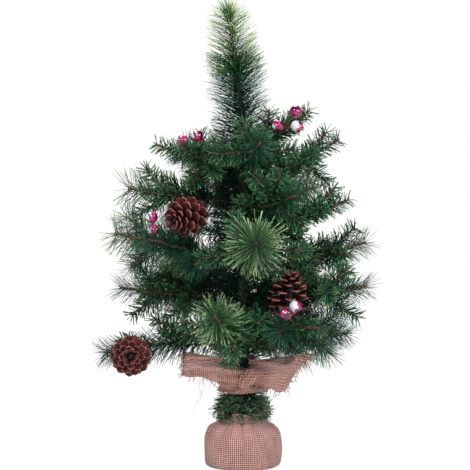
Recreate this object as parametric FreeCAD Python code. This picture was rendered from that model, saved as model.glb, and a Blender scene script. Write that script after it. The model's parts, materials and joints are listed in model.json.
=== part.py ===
import FreeCAD, Part
import math
import os
import random

# Artificial tabletop tree, millimetres, +Z up.
# The origin is the centre of the underside of its sack, where it stands on the table.
# The tree faces -Y, and +X is to the right as it is seen from the front.

Vec = FreeCAD.Vector
UP = Vec(0, 0, 1)

# Driving sizes
TREE_HEIGHT = 600.0
SACK_RADIUS = 49.5
SACK_HEIGHT = 70.0
NECK_HEIGHT = 60.5
NECK_RADIUS = 28.0
PLEAT_DEPTH = 1.2
TWINE_RADIUS = 1.2
CLOTH = 1.2
POLE_RADIUS = 4.0
POLE_FOOT = 9.0
POLE_TOP = 430.0
WRAP_RADIUS = 8.0
WRAP_BOTTOM = 128.0
WRAP_TOP = 424.0
STEM_RADIUS = 1.9
TWIG_RADIUS = 1.3
TWIG_SIDES = 4
PICK_RADIUS = 0.9
HINGE_GAP = 0.3
TINSEL_CORE = 7.0
LEADER_LEAN = 18.0
LEADER_RADIUS = 2.2
TOP_TUFT = 19.0
PLEATS = 13

# The ribbon tied round the trunk
BAND_RADIUS = 32.0
BAND_LOW = 97.0
BAND_HIGH = 118.0
KNOT = Vec(5, -39, 122)

# Base inside the sack
POT_RADIUS = 43.0
POT_HEIGHT = 44.0
POT_WALL = 1.5
WEIGHT_TOP = 40.0

# Needles: the strips of film that the twisted wire holds
NEEDLE_HALF_WIDTH = 0.55
NEEDLE_BASE_LENGTH = 2.4
NEEDLE_GAP = 0.3
SHORTEST_NEEDLE = 7.0
LEAST_RUN = 2.5
GOLDEN_TURN = 0.382
SWAY = 0.38
STEM_SHARES = (0.0, 0.32, 0.64, 1.0)
SIDE_REACH = 0.86
CROWN_REACH = 0.68
CROWN_RISE = 30.0
FORK_MARGIN = 9.0

# Ornaments
CONE_LENGTH = 48.0
CONE_TIERS = 6
CONE_SCALES = 7
CONE_SCALE_LENGTH = 20.0
SCALE_HALF_WIDTH = 5.4
BERRY_RADIUS = 7.5
BERRY_SIDES = 9
BERRY_LATITUDES = (-75, -40, 0, 40, 75)

random.seed(11)
os.makedirs("parts", exist_ok=True)


class NeedleKind:
    """One kind of tip: how long its needles are, how far they lean out and how many it has."""

    def __init__(self, length, lean, spacing):
        self.length = length
        self.lean = math.radians(lean)
        self.spacing = spacing


SOFT = NeedleKind(length=33.0, lean=46.0, spacing=5.8)
FLAT = NeedleKind(length=18.0, lean=52.0, spacing=5.6)
FINE = NeedleKind(length=29.0, lean=40.0, spacing=5.8)
INNER = NeedleKind(length=20.0, lean=55.0, spacing=7.0)
LEADER = NeedleKind(length=38.0, lean=44.0, spacing=2.1)
TUFT = NeedleKind(length=24.0, lean=15.0, spacing=1.5)
TINSEL = NeedleKind(length=30.0, lean=86.0, spacing=0.45)


class Tip:
    """A short side tip: the corner of the stem that it forks from, and where it ends."""

    def __init__(self, fork, turn, reach, rise):
        self.fork = fork
        self.turn = turn
        self.reach = reach
        self.rise = rise


# Turn is a share of the branch's spread, reach a share of its reach, and rise is above the fork
LIFTED = Tip(fork=2, turn=-0.35, reach=0.90, rise=36.0)
HANGING = Tip(fork=2, turn=0.4, reach=0.90, rise=-27.0)
NEAR = Tip(fork=1, turn=-1.6, reach=0.62, rise=6.0)
FAR = Tip(fork=1, turn=1.7, reach=0.60, rise=-12.0)
UNDER = Tip(fork=1, turn=0.1, reach=0.62, rise=-30.0)
TALL = Tip(fork=1, turn=-0.5, reach=0.50, rise=40.0)


class Branch:
    """A wired branch: a stem with a main tip and side tips, in polar places round the pole."""

    def __init__(self, name, root, azimuth, reach, end, spread, main, sides, tips, rise=-14.0, picks=(), ways=(1, -1), crown=0.3):
        self.name = name
        self.root = root
        self.azimuth = math.radians(azimuth)
        self.reach = reach
        self.end = end
        self.spread = math.radians(spread)
        self.main = main
        self.sides = sides
        self.tips = tips
        self.rise = rise
        self.picks = picks
        self.ways = ways
        self.crown = crown


class Pick:
    """A short wire from a stem to an ornament: where it leaves, and where it ends."""

    def __init__(self, along, end, kind, axis=None):
        self.along = along
        self.end = Vec(*end)
        self.kind = kind
        self.axis = axis


# Each branch: root height, azimuth from +X towards the back, reach from the pole, end height,
# spread of the side tips, kinds of needle on the main and side tips, and the short tips that
# have room on it, whichever way it and the branches near it bend. Crown is how far the
# raised tip stands to one side, as a share of the spread, or 0 for a branch without one.
BRANCHES = [
    Branch("top_right", 404, 338, 90, 456, 40, FLAT, FLAT,
           (FAR, UNDER, TALL), rise=-8, picks=(
        Pick(0.50, (66, -56, 454), "berry"),
        Pick(0.62, (68, -46, 436), "berry"),
        Pick(0.40, (44, -44, 436), "berry")), ways=(1,)),
    Branch("top_front", 392, 281, 108, 414, 32, FINE, FLAT,
           (LIFTED, NEAR, FAR, UNDER, TALL)),
    Branch("top_left", 384, 190, 112, 414, 28, FLAT, FLAT,
           (FAR, UNDER, TALL), rise=-10, picks=(
        Pick(0.60, (-76, -40, 418), "berry"),
        Pick(0.48, (-58, -36, 424), "berry"))),
    Branch("upper_right", 362, 356, 122, 420, 30, FLAT, FLAT,
           (LIFTED, HANGING, FAR, UNDER), rise=-20),
    Branch("upper_front_right", 328, 300, 130, 350, 22, FINE, FLAT,
           (LIFTED, HANGING, NEAR, UNDER), rise=20),
    Branch("upper_left", 336, 166, 154, 358, 26, SOFT, FLAT,
           (LIFTED, HANGING, NEAR, UNDER, TALL), rise=-6),
    Branch("upper_back_left", 366, 116, 116, 408, 30, SOFT, FINE,
           (LIFTED, HANGING, UNDER, TALL), rise=-8),
    Branch("upper_back_right", 340, 64, 134, 374, 30, FLAT, SOFT,
           (LIFTED, HANGING, NEAR, FAR, UNDER), rise=-8),
    Branch("mid_right", 300, 346, 138, 344, 20, FLAT, FLAT,
           (LIFTED, NEAR, FAR, UNDER, TALL), rise=-10),
    Branch("mid_front", 276, 276, 150, 292, 30, SOFT, FLAT,
           (LIFTED, HANGING, FAR, UNDER, TALL), rise=-20),
    Branch("mid_left", 268, 192, 166, 302, 24, SOFT, FINE,
           (LIFTED, HANGING, NEAR, FAR, TALL), rise=-14, picks=(
        Pick(0.36, (-74, -48, 322), "cone", (-0.50, -0.80, -0.16)),
        Pick(0.66, (-114, -62, 322), "berry"),
        Pick(0.72, (-112, -66, 306), "berry"))),
    Branch("mid_back", 280, 90, 156, 312, 28, FINE, FLAT,
           (LIFTED, HANGING, NEAR, TALL), rise=-8),
    Branch("outer_right", 252, 6, 160, 288, 22, FINE, FLAT,
           (LIFTED, HANGING, NEAR, FAR, UNDER), rise=-14),
    Branch("low_left", 216, 178, 158, 230, 20, FINE, FLAT,
           (LIFTED, HANGING, FAR, UNDER, TALL), rise=-6),
    Branch("low_right", 206, 336, 168, 236, 20, FINE, FLAT,
           (LIFTED, HANGING, UNDER, TALL), rise=-6),
    Branch("low_back_left", 226, 132, 164, 250, 22, FLAT, SOFT,
           (LIFTED, HANGING, NEAR, FAR, UNDER, TALL), rise=-6),
    Branch("low_back_right", 214, 52, 164, 236, 26, FINE, FLAT,
           (LIFTED, HANGING, NEAR, FAR, UNDER), rise=-6),
    Branch("bottom_left", 168, 198, 182, 152, 22, FINE, FLAT,
           (NEAR,), rise=8, picks=(
        Pick(0.62, (-139, -87, 151), "cone", (0.05, -0.99, 0.08)),), ways=(-1,)),
    Branch("bottom_front", 160, 256, 142, 204, 25, SOFT, FLAT,
           (LIFTED, HANGING, NEAR, FAR, UNDER, TALL), rise=-10),
    Branch("bottom_right", 164, 14, 142, 168, 30, FINE, FINE,
           (LIFTED, HANGING, NEAR, FAR, UNDER, TALL), rise=6),
    Branch("bottom_front_right", 188, 308, 150, 188, 18, FLAT, FINE,
           (HANGING, NEAR, UNDER), rise=-4, picks=(
        Pick(0.44, (56, -80, 228), "cone", (0.10, -0.25, 0.96)),
        Pick(0.58, (64, -116, 214), "berry"),
        Pick(0.68, (52, -124, 206), "berry")), crown=0),
]


def polar(radius, azimuth, height):
    return Vec(radius * math.cos(azimuth), radius * math.sin(azimuth), height)


def unit(vector):
    return vector * (1.0 / vector.Length)


def across(axis):
    """Two unit vectors at right angles to the axis and to each other."""
    helper = UP if abs(axis.z) < 0.9 else Vec(1, 0, 0)
    first = unit(helper.cross(axis))
    return first, axis.cross(first)


def polyhedron(points, faces):
    """A closed solid from corners and the corner numbers of each flat face."""
    flats = [Part.Face(Part.makePolygon([points[i] for i in face] + [points[face[0]]])) for face in faces]
    solid = Part.Solid(Part.Shell(flats))
    if solid.Volume < 0:
        solid.reverse()
    return solid


def ring_faces(first, second, count, split):
    """The faces between two rings of corners, as quads or as pairs of triangles."""
    faces = []
    for i in range(count):
        j = (i + 1) % count
        if split:
            faces.append((first + i, first + j, second + j))
            faces.append((first + i, second + j, second + i))
        else:
            faces.append((first + i, first + j, second + j, second + i))
    return faces


def ring_loft(rings, split=True):
    """A closed solid through rings of corners, with flat ends."""
    count = len(rings[0])
    points = [point for ring in rings for point in ring]
    faces = [tuple(range(count)), tuple(range(len(points) - count, len(points)))]
    for k in range(len(rings) - 1):
        faces += ring_faces(k * count, (k + 1) * count, count, split)
    return polyhedron(points, faces)


def wire(path, radius, sides=6):
    """The rings of corners of a wire along straight runs, mitred where they meet."""
    run = unit(path[1] - path[0])
    side, other = across(run)
    angles = [2 * math.pi * k / sides for k in range(sides)]
    ring = [path[0] + side * (radius * math.cos(a)) + other * (radius * math.sin(a)) for a in angles]
    rings = [ring]
    for k in range(1, len(path)):
        run = unit(path[k] - path[k - 1])
        leaving = unit(path[k + 1] - path[k]) if k + 1 < len(path) else run
        mitre = unit(run + leaving)
        ring = [p + run * ((path[k] - p).dot(mitre) / run.dot(mitre)) for p in ring]
        rings.append(ring)
    return rings


def flats(ring, start, axis):
    """The middle and the outward direction of each flat side of a run of wire."""
    sides = []
    for k, corner in enumerate(ring):
        following = ring[(k + 1) % len(ring)]
        middle = (corner + following) * 0.5 - start
        middle = middle - axis * middle.dot(axis)
        outward = unit(axis.cross(following - corner))
        sides.append((middle, outward if outward.dot(middle) > 0 else outward * -1))
    return sides


def closest(a, b, c, d):
    """How far along two straight runs they come closest, as fractions, and that distance."""
    u, v, w = b - a, d - c, a - c
    uu, uv, vv, uw, vw = u.dot(u), u.dot(v), v.dot(v), u.dot(w), v.dot(w)
    slack = uu * vv - uv * uv
    s = min(1.0, max(0.0, (uv * vw - vv * uw) / slack)) if slack > 1e-9 else 0.0
    t = min(1.0, max(0.0, (uv * s + vw) / vv))
    s = min(1.0, max(0.0, (uv * t - uw) / uu))
    return s, t, (a + u * s - c - v * t).Length


class Thicket:
    """What already fills the tree, as straight tapered runs kept in cells, so that needles clear it."""

    CELL = 30.0

    def __init__(self):
        self.cells = {}

    def places(self, a, b, radius):
        low = [int(math.floor((min(p, q) - radius) / self.CELL)) for p, q in zip(a, b)]
        high = [int(math.floor((max(p, q) + radius) / self.CELL)) for p, q in zip(a, b)]
        return [(i, j, k) for i in range(low[0], high[0] + 1)
                for j in range(low[1], high[1] + 1) for k in range(low[2], high[2] + 1)]

    def add(self, a, b, start_radius, end_radius, owner=None):
        run = (a, b, start_radius, end_radius, owner)
        for place in self.places(a, b, max(start_radius, end_radius)):
            self.cells.setdefault(place, []).append(run)

    def free_share(self, a, b, radius, owner):
        """The share of the run from a to b that stays clear of everything but its owner."""
        share, seen, length = 1.0, set(), (b - a).Length
        for place in self.places(a, b, radius):
            for run in self.cells.get(place, ()):
                if id(run) in seen or run[4] == owner:
                    continue
                seen.add(id(run))
                s, t, distance = closest(a, b, run[0], run[1])
                thickness = radius * (1 - s) + run[2] * (1 - t) + run[3] * t
                if distance < thickness + NEEDLE_GAP:
                    share = min(share, s - (LEAST_RUN + run[2]) / length)
        return share


thicket = Thicket()


def needle(base, axis, outward, tip):
    """A needle: a slim pyramid with its foot flat on one side of the wire."""
    sideways = axis.cross(outward)
    half = NEEDLE_BASE_LENGTH / 2
    foot = [base - axis * half - sideways * NEEDLE_HALF_WIDTH,
            base - axis * half + sideways * NEEDLE_HALF_WIDTH, base + axis * half]
    return polyhedron(foot + [tip], [(0, 1, 2), (0, 1, 3), (1, 2, 3), (2, 0, 3)])


def fringe(ring, start, end, kind, owner, margin=4.0, stretch=1.0, taper=0.25):
    """The needles round one straight run of wire, shorter to its end, none crossing another."""
    axis = unit(end - start)
    sides = flats(ring, start, axis)
    length = (end - start).Length
    needles = []
    place, turn = margin, random.random()
    while place < length - NEEDLE_BASE_LENGTH:
        turn += GOLDEN_TURN
        middle, outward = sides[int(turn * len(sides)) % len(sides)]
        sway = random.uniform(-SWAY, SWAY)
        lean = kind.lean * random.uniform(0.86, 1.12)
        reach = kind.length * stretch * random.uniform(0.86, 1.0)
        reach *= 1 - taper * max(0.0, 2 * place / length - 1)
        spoke = outward * math.cos(sway) + axis.cross(outward) * math.sin(sway)
        heading = axis * math.cos(lean) + spoke * math.sin(lean)
        base = start + axis * place + middle
        tip = base + heading * reach
        share = thicket.free_share(base, tip, NEEDLE_BASE_LENGTH / 2, owner)
        if share * reach > SHORTEST_NEEDLE:
            tip = base + (tip - base) * share
            needles.append(needle(base, axis, outward, tip))
            thicket.add(base, tip, NEEDLE_BASE_LENGTH / 2, 0.0)
        place += kind.spacing
    return needles


def save(name, solids):
    shape = solids[0] if len(solids) == 1 else Part.makeCompound(solids)
    shape.exportStep(f"parts/{name}.step")


def bend(start, control, end, share):
    return start * (1 - share) ** 2 + control * (2 * share * (1 - share)) + end * share ** 2


def point_along(path, share):
    """The point at a share of the length of a path of straight runs, and its direction."""
    left = share * sum((b - a).Length for a, b in zip(path, path[1:]))
    for a, b in zip(path, path[1:]):
        if left <= (b - a).Length:
            return a + unit(b - a) * left
        left -= (b - a).Length
    return path[-1]


def stem_path(branch):
    """From the wrapped pole outwards, climbing late, so that the tip turns up."""
    start = polar(WRAP_RADIUS + HINGE_GAP + STEM_RADIUS, branch.azimuth, branch.root)
    end = polar(branch.reach, branch.azimuth, branch.end)
    control = polar(0.5 * branch.reach, branch.azimuth, branch.root + 0.3 * (branch.end - branch.root))
    return [bend(start, control, end, share) for share in STEM_SHARES]


def side_twigs(branch, path):
    """The start and end of the side tips, which fork off where the stem bends."""
    twigs = []
    for fork, way, climb in ((1, 1, 0.5), (2, -1, 1.0)):
        if way in branch.ways:
            azimuth = branch.azimuth + way * branch.spread
            end = polar(branch.reach * SIDE_REACH, azimuth, branch.end + branch.rise * climb)
            twigs.append((path[fork], end))
    if branch.crown:
        height = path[1].z + CROWN_RISE
        azimuth = branch.azimuth + branch.crown * branch.spread
        twigs.append((path[1], polar(branch.reach * CROWN_REACH, azimuth, height)))
    for tip in branch.tips:
        azimuth = branch.azimuth + tip.turn * branch.spread
        twigs.append((path[tip.fork], polar(branch.reach * tip.reach, azimuth, path[tip.fork].z + tip.rise)))
    return twigs


def pick_path(pick, path):
    """From the stem to the ornament, ending square on its foot."""
    start = point_along(path, pick.along)
    if pick.kind == "cone":
        axis = unit(Vec(*pick.axis))
        foot = pick.end - axis * (CONE_LENGTH / 2)
        return [start, foot - axis * 7.0, foot]
    way = unit(pick.end - start)
    return [start, pick.end - way * (BERRY_RADIUS * math.sin(math.radians(-BERRY_LATITUDES[0])))]


def stem_solid(path):
    """The main stem, with a blunt nose at the point where it bends away from the pole."""
    rings = wire(path, STEM_RADIUS)
    run = unit(path[1] - path[0])
    nose = [path[0] + (p - path[0]) * 0.5 - run * (0.85 * STEM_RADIUS) for p in rings[0]]
    return ring_loft([nose] + rings, split=False)


def cone(centre, way):
    """A pine cone: a core of flat sides, and tiers of open scales seated on every other side."""
    axis = unit(way)
    side, other = across(axis)
    foot = centre - axis * (CONE_LENGTH / 2)
    sides = 2 * CONE_SCALES
    step = CONE_LENGTH / CONE_TIERS

    def core_radius(height):
        share = height / CONE_LENGTH
        return 3.4 + 4.6 * math.sin(math.pi * min(1.0, share + 0.18)) ** 0.8

    def spoke(angle):
        return side * math.cos(angle) + other * math.sin(angle)

    rings = []
    for tier in range(CONE_TIERS + 1):
        radius = core_radius(tier * step)
        rings.append([foot + axis * (tier * step) + spoke(math.pi * (2 * k + 1) / sides) * radius
                      for k in range(sides)])
    solids = [ring_loft(rings, split=False)]
    for tier in range(CONE_TIERS):
        share = (tier + 0.5) / CONE_TIERS
        opened = math.radians(98 - 70 * share)
        length = CONE_SCALE_LENGTH * (0.62 + 0.38 * math.sin(math.pi * min(1.0, share + 0.12)))
        low, high = core_radius(tier * step), core_radius((tier + 1) * step)
        apothem = math.cos(math.pi / sides)
        for k in range(CONE_SCALES):
            angle = 2 * math.pi * (2 * k + tier % 2) / sides
            radial = spoke(angle)
            tangent = axis.cross(radial)
            middle = foot + axis * ((tier + 0.5) * step) + radial * ((low + high) / 2 * apothem)
            slope = unit(axis * step + radial * ((high - low) * apothem))
            half = (low + high) / 2 * math.sin(math.pi / sides) * 0.86
            outwards = axis * math.cos(opened) + radial * math.sin(opened)
            upwards = axis * math.sin(opened) - radial * math.cos(opened)
            lip = middle + outwards * length
            corners = [middle - slope * 1.3 - tangent * half, middle - slope * 1.3 + tangent * half,
                       middle + slope * 1.3 + tangent * half, middle + slope * 1.3 - tangent * half,
                       lip - upwards * 0.9 - tangent * SCALE_HALF_WIDTH,
                       lip - upwards * 0.9 + tangent * SCALE_HALF_WIDTH,
                       lip + upwards * 0.9 + tangent * SCALE_HALF_WIDTH * 0.7,
                       lip + upwards * 0.9 - tangent * SCALE_HALF_WIDTH * 0.7]
            faces = [(0, 1, 2, 3), (4, 5, 6, 7)] + ring_faces(0, 4, 4, True)
            solids.append(polyhedron(corners, faces))
    return solids


def berry(centre, way):
    """A berry as a ball of flat sides, with its foot flat on the end of its wire."""
    axis = unit(way)
    side, other = across(axis)
    rings = []
    for latitude in BERRY_LATITUDES:
        height = BERRY_RADIUS * math.sin(math.radians(latitude))
        radius = BERRY_RADIUS * math.cos(math.radians(latitude))
        rings.append([centre + axis * height
                      + (side * math.cos(a) + other * math.sin(a)) * radius
                      for a in (2 * math.pi * k / BERRY_SIDES for k in range(BERRY_SIDES))])
    return ring_loft(rings, split=False)


def sack():
    """The burlap sack: a cloth wall pulled into pleats at its tied neck."""
    def ring(height, radius, pleat):
        count = 2 * PLEATS
        return [polar(radius + (pleat if k % 2 else -pleat), 2 * math.pi * k / count, height)
                for k in range(count)]

    outer = [(0.0, SACK_RADIUS - 4, 0), (3.0, SACK_RADIUS - 0.8, 0), (22.0, SACK_RADIUS, 0.2),
             (42.0, SACK_RADIUS - 1.5, 0.5), (52.0, SACK_RADIUS - 9, 1.0),
             (NECK_HEIGHT - 3, NECK_RADIUS, PLEAT_DEPTH), (NECK_HEIGHT + 3, NECK_RADIUS, PLEAT_DEPTH),
             (SACK_HEIGHT, NECK_RADIUS + 4, 2 * PLEAT_DEPTH)]
    inner = [(height, radius - CLOTH, pleat) for height, radius, pleat in outer[:0:-1]]
    inner.append((CLOTH, SACK_RADIUS - 4 - CLOTH, 0))
    return ring_loft([ring(*level) for level in outer + inner])


def upright(radius, low, high):
    return Part.makeCylinder(radius, high - low, Vec(0, 0, low))


def pot():
    """The thin tub that holds the weight's shape inside the sack."""
    inside = upright(POT_RADIUS - POT_WALL, CLOTH + POT_WALL, CLOTH + POT_HEIGHT)
    return upright(POT_RADIUS, CLOTH, CLOTH + POT_HEIGHT).cut(inside)


def weight():
    """The cast weight in the pot, with the pole's foot set in it."""
    cast = upright(POT_RADIUS - POT_WALL, CLOTH + POT_WALL, WEIGHT_TOP)
    return cast.cut(upright(POLE_RADIUS, POLE_FOOT, WEIGHT_TOP))


def tie():
    """The twine round the sack's neck, lying in its pleats."""
    count = 2 * PLEATS
    rings = []
    middle = NECK_RADIUS + PLEAT_DEPTH + TWINE_RADIUS + 0.3
    for out, rise in ((0, -TWINE_RADIUS), (TWINE_RADIUS, 0), (0, TWINE_RADIUS), (-TWINE_RADIUS, 0)):
        rings.append([polar(middle + out, 2 * math.pi * k / count, NECK_HEIGHT + rise)
                      for k in range(count)])
    faces = []
    for k in range(4):
        faces += ring_faces(k * count, (k + 1) % 4 * count, count, True)
    return polyhedron([point for ring in rings for point in ring], faces)


def ribbon(sections):
    """A strip of cloth through rows of points across it, with the cloth's thickness."""
    rows, columns = len(sections), len(sections[0])

    def normal(i, j):
        along = sections[min(i + 1, rows - 1)][j] - sections[max(i - 1, 0)][j]
        over = sections[i][min(j + 1, columns - 1)] - sections[i][max(j - 1, 0)]
        return unit(along.cross(over))

    front = [sections[i][j] + normal(i, j) * (CLOTH / 2) for i in range(rows) for j in range(columns)]
    back = [sections[i][j] - normal(i, j) * (CLOTH / 2) for i in range(rows) for j in range(columns)]
    skip = rows * columns
    faces = []
    for i in range(rows - 1):
        for j in range(columns - 1):
            a, b = i * columns + j, i * columns + j + 1
            c, d = b + columns, a + columns
            faces += [(a, b, c), (a, c, d), (a + skip, c + skip, b + skip), (a + skip, d + skip, c + skip)]
    rim = [i * columns for i in range(rows)] + [(rows - 1) * columns + j for j in range(1, columns)]
    rim += [i * columns + columns - 1 for i in range(rows - 2, -1, -1)] + list(range(columns - 2, 0, -1))
    for a, b in zip(rim, rim[1:] + rim[:1]):
        faces += [(a, b, b + skip), (a, b + skip, a + skip)]
    return polyhedron(front + back, faces)


def sash():
    """The burlap ribbon: a band round the trunk, a knot in front and two folded tails."""
    count = 24
    rings = []
    for radius, height in ((BAND_RADIUS - 2, BAND_LOW), (BAND_RADIUS + 2, BAND_HIGH),
                           (BAND_RADIUS + 2 - CLOTH, BAND_HIGH), (BAND_RADIUS - 2 - CLOTH, BAND_LOW)):
        rings.append([polar(radius, 2 * math.pi * k / count, height) for k in range(count)])
    faces = []
    for k in range(4):
        faces += ring_faces(k * count, (k + 1) % 4 * count, count, True)
    band = polyhedron([point for ring in rings for point in ring], faces)
    knot = ring_loft([[Vec(KNOT.x + 9 * math.cos(a) * swell, KNOT.y + 7 * math.sin(a) * swell, KNOT.z + rise)
                       for a in (2 * math.pi * (k + 0.5) / 8 for k in range(8))]
                      for rise, swell in ((-11, 0.45), (-4, 1.0), (6, 1.0), (13, 0.5))])
    left = ribbon([[Vec(2, -37, 133), Vec(2, -44, 125), Vec(2, -38, 113)],
                   [Vec(-22, -38, 143), Vec(-20, -47, 131), Vec(-22, -39, 115)],
                   [Vec(-50, -36, 148), Vec(-48, -44, 133), Vec(-50, -37, 116)],
                   [Vec(-76, -30, 145), Vec(-76, -38, 131), Vec(-76, -31, 116)]])
    right = ribbon([[Vec(8, -37, 142), Vec(8, -45, 127), Vec(8, -38, 112)],
                    [Vec(32, -40, 143), Vec(30, -49, 125), Vec(30, -42, 106)],
                    [Vec(62, -39, 147), Vec(52, -48, 127), Vec(42, -42, 102)],
                    [Vec(90, -34, 149), Vec(70, -42, 130), Vec(54, -38, 101)]])
    return band.fuse([knot, left, right])


def add_path(path, radius, owner):
    for k in range(len(path) - 1):
        thicket.add(path[k], path[k + 1], radius, radius, (owner, k))


def fixed_pieces():
    """Everything that stands still: base, pole, wraps, leader wire and sash."""
    save("burlap_sack", [sack()])
    save("base_pot", [pot()])
    save("base_weight", [weight()])
    save("sack_tie", [tie()])
    save("trunk_pole", [upright(POLE_RADIUS, POLE_FOOT, POLE_TOP)])
    wrap = upright(WRAP_RADIUS, WRAP_BOTTOM, WRAP_TOP)
    save("branch_wrap", [wrap.cut(upright(POLE_RADIUS, WRAP_BOTTOM, WRAP_TOP))])
    save("burlap_sash", [sash()])
    thicket.add(Vec(0, 0, 0), Vec(0, 0, POLE_TOP), WRAP_RADIUS, WRAP_RADIUS, "trunk")
    middle = (BAND_LOW + BAND_HIGH) / 2
    hoops = [(BAND_RADIUS, middle, 12, "trunk"), (BAND_RADIUS, BAND_LOW + 4, 5, None),
             (BAND_RADIUS, BAND_HIGH - 4, 5, None), (NECK_RADIUS + 3, NECK_HEIGHT + 6, 4.5, None),
             (NECK_RADIUS + 1, NECK_HEIGHT, 4.5, None)]
    for radius, height, thickness, owner in hoops:
        for k in range(24):
            angle, following = 2 * math.pi * k / 24, 2 * math.pi * (k + 1) / 24
            thicket.add(polar(radius, angle, height), polar(radius, following, height), thickness, thickness, owner)
    thicket.add(KNOT, Vec(-76, -36, 131), 17, 17, "trunk")
    thicket.add(KNOT, Vec(48, -44, 124), 22, 22, "trunk")
    thicket.add(Vec(48, -44, 124), Vec(80, -40, 140), 20, 12, "trunk")


def trunk_tinsel():
    """The short garland wound on the pole under the ribbon, its needles on a twelve-sided core."""
    start, end = Vec(0, 0, NECK_HEIGHT), Vec(0, 0, WRAP_BOTTOM)
    ring = wire([start, end], TINSEL_CORE, sides=12)
    core = ring_loft(ring, split=False).cut(upright(POLE_RADIUS, 0, POLE_TOP))
    below = Vec(0, 0, BAND_LOW - 2)
    needles = fringe(ring[0], start, below, TINSEL, "trunk", margin=1.0, taper=0.0)
    needles += fringe(ring[0], below, end, TINSEL, "trunk", margin=1.0, taper=0.0, stretch=0.58)
    return [core] + needles


def leader():
    """The wire that carries the top tip, seated on the pole and leaning to the left."""
    top = Vec(-LEADER_LEAN, 0, TREE_HEIGHT - TOP_TUFT)
    path = [Vec(0, 0, POLE_TOP), Vec(0, 0, POLE_TOP + 8), top]
    rings = wire(path, LEADER_RADIUS)
    add_path(path, LEADER_RADIUS, "leader")
    save("leader_wire", [ring_loft(rings, split=False)])
    return path, rings


def branch_wire(branch):
    """A branch's stem, side tips and picks as one piece of wire, and its ornaments."""
    path = stem_path(branch)
    solid = stem_solid(path)
    add_path(path, STEM_RADIUS, branch.name)
    twigs = side_twigs(branch, path)
    joined = []
    for start, end in twigs:
        joined.append(ring_loft(wire([start, end], TWIG_RADIUS, TWIG_SIDES), split=False))
        thicket.add(start, end, TWIG_RADIUS, TWIG_RADIUS, (branch.name, tuple(end)))
    cones, berries = [], []
    for pick in branch.picks:
        route = pick_path(pick, path)
        joined.append(ring_loft(wire(route, PICK_RADIUS), split=False))
        add_path(route, PICK_RADIUS, branch.name + " pick")
        if pick.kind == "cone":
            axis = unit(Vec(*pick.axis))
            cones += cone(pick.end, axis)
            reach = CONE_LENGTH / 2 - 12
            thicket.add(pick.end - axis * reach, pick.end + axis * reach, 24, 20)
        else:
            berries.append(berry(pick.end, pick.end - route[0]))
            thicket.add(pick.end, pick.end + UP * 0.1, BERRY_RADIUS, BERRY_RADIUS)
    save(f"{branch.name}_wire", [solid.fuse(joined)])
    if cones:
        save(f"{branch.name}_cone", cones)
    if berries:
        save(f"{branch.name}_berries", berries)
    return path, twigs


def branch_needles(branch, path, twigs):
    """The fringes on the stem's outer runs and on both side tips."""
    rings = wire(path, STEM_RADIUS)
    needles = []
    for k in (1, 2):
        needles += fringe(rings[k], path[k], path[k + 1], branch.main, (branch.name, k), margin=3.0)
    for start, end in twigs:
        ring = wire([start, end], TWIG_RADIUS, TWIG_SIDES)[0]
        needles += fringe(ring, start, end, branch.sides, (branch.name, tuple(end)), margin=FORK_MARGIN)
    needles += fringe(rings[0], path[0], path[1], INNER, (branch.name, 0), margin=6.0)
    save(f"{branch.name}_needles", needles)
    return len(needles)


def main():
    fixed_pieces()
    leader_path, leader_rings = leader()
    wired = [(branch, *branch_wire(branch)) for branch in BRANCHES]
    save("trunk_tinsel", trunk_tinsel())
    tip = leader_path[-1]
    tuft = tip - unit(tip - leader_path[1]) * 13
    needles = fringe(leader_rings[1], leader_path[1], tuft, LEADER, ("leader", 1), margin=6.0)
    needles += fringe(leader_rings[1], tuft, tip, TUFT, ("leader", 1), margin=1.0, taper=0.0)
    save("leader_needles", needles)
    total = len(needles) + sum(branch_needles(*item) for item in wired)
    print("needles on the branches and the leader:", total)


main()
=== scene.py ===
"""Dresses the artificial tabletop tree: its needles, wires, cones, berries, burlap and studio."""

from __future__ import annotations

import json
import logging
import math
from dataclasses import dataclass, field
from enum import Enum

import bmesh
import bpy
import numpy as np
from mathutils import Euler, Matrix, Vector

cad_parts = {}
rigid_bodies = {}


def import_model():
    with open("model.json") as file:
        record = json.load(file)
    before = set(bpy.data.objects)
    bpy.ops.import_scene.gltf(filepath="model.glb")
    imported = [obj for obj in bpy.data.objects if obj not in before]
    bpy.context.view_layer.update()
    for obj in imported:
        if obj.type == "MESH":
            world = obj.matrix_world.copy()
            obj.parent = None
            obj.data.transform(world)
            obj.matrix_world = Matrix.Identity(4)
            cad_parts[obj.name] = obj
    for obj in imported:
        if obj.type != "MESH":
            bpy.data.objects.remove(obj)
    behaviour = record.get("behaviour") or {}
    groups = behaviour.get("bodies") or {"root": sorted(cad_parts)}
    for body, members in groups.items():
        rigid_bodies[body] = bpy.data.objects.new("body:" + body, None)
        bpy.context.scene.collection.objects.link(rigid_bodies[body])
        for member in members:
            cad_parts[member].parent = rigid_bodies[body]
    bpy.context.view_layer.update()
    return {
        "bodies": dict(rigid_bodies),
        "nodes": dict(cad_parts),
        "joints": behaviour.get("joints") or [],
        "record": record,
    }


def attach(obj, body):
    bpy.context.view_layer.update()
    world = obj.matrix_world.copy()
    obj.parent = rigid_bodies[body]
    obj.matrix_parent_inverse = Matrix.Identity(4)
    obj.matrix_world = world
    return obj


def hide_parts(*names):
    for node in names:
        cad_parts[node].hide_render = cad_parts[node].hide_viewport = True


LOG = logging.getLogger("tree")
MM = 0.001
UP = Vector((0.0, 0.0, 1.0))
GOLDEN_ANGLE = math.radians(137.508)
ROOT_RADIUS = 0.0102
SIDE_REACH = 0.86
CROWN_REACH = 0.68
CROWN_RISE = 0.030
STEM_WIRE = 0.0019
TIP_WIRE = 0.0013
PICK_WIRE = 0.0009
LOW_BRANCH = 0.21
MOST_TWIST = 6.283


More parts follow.
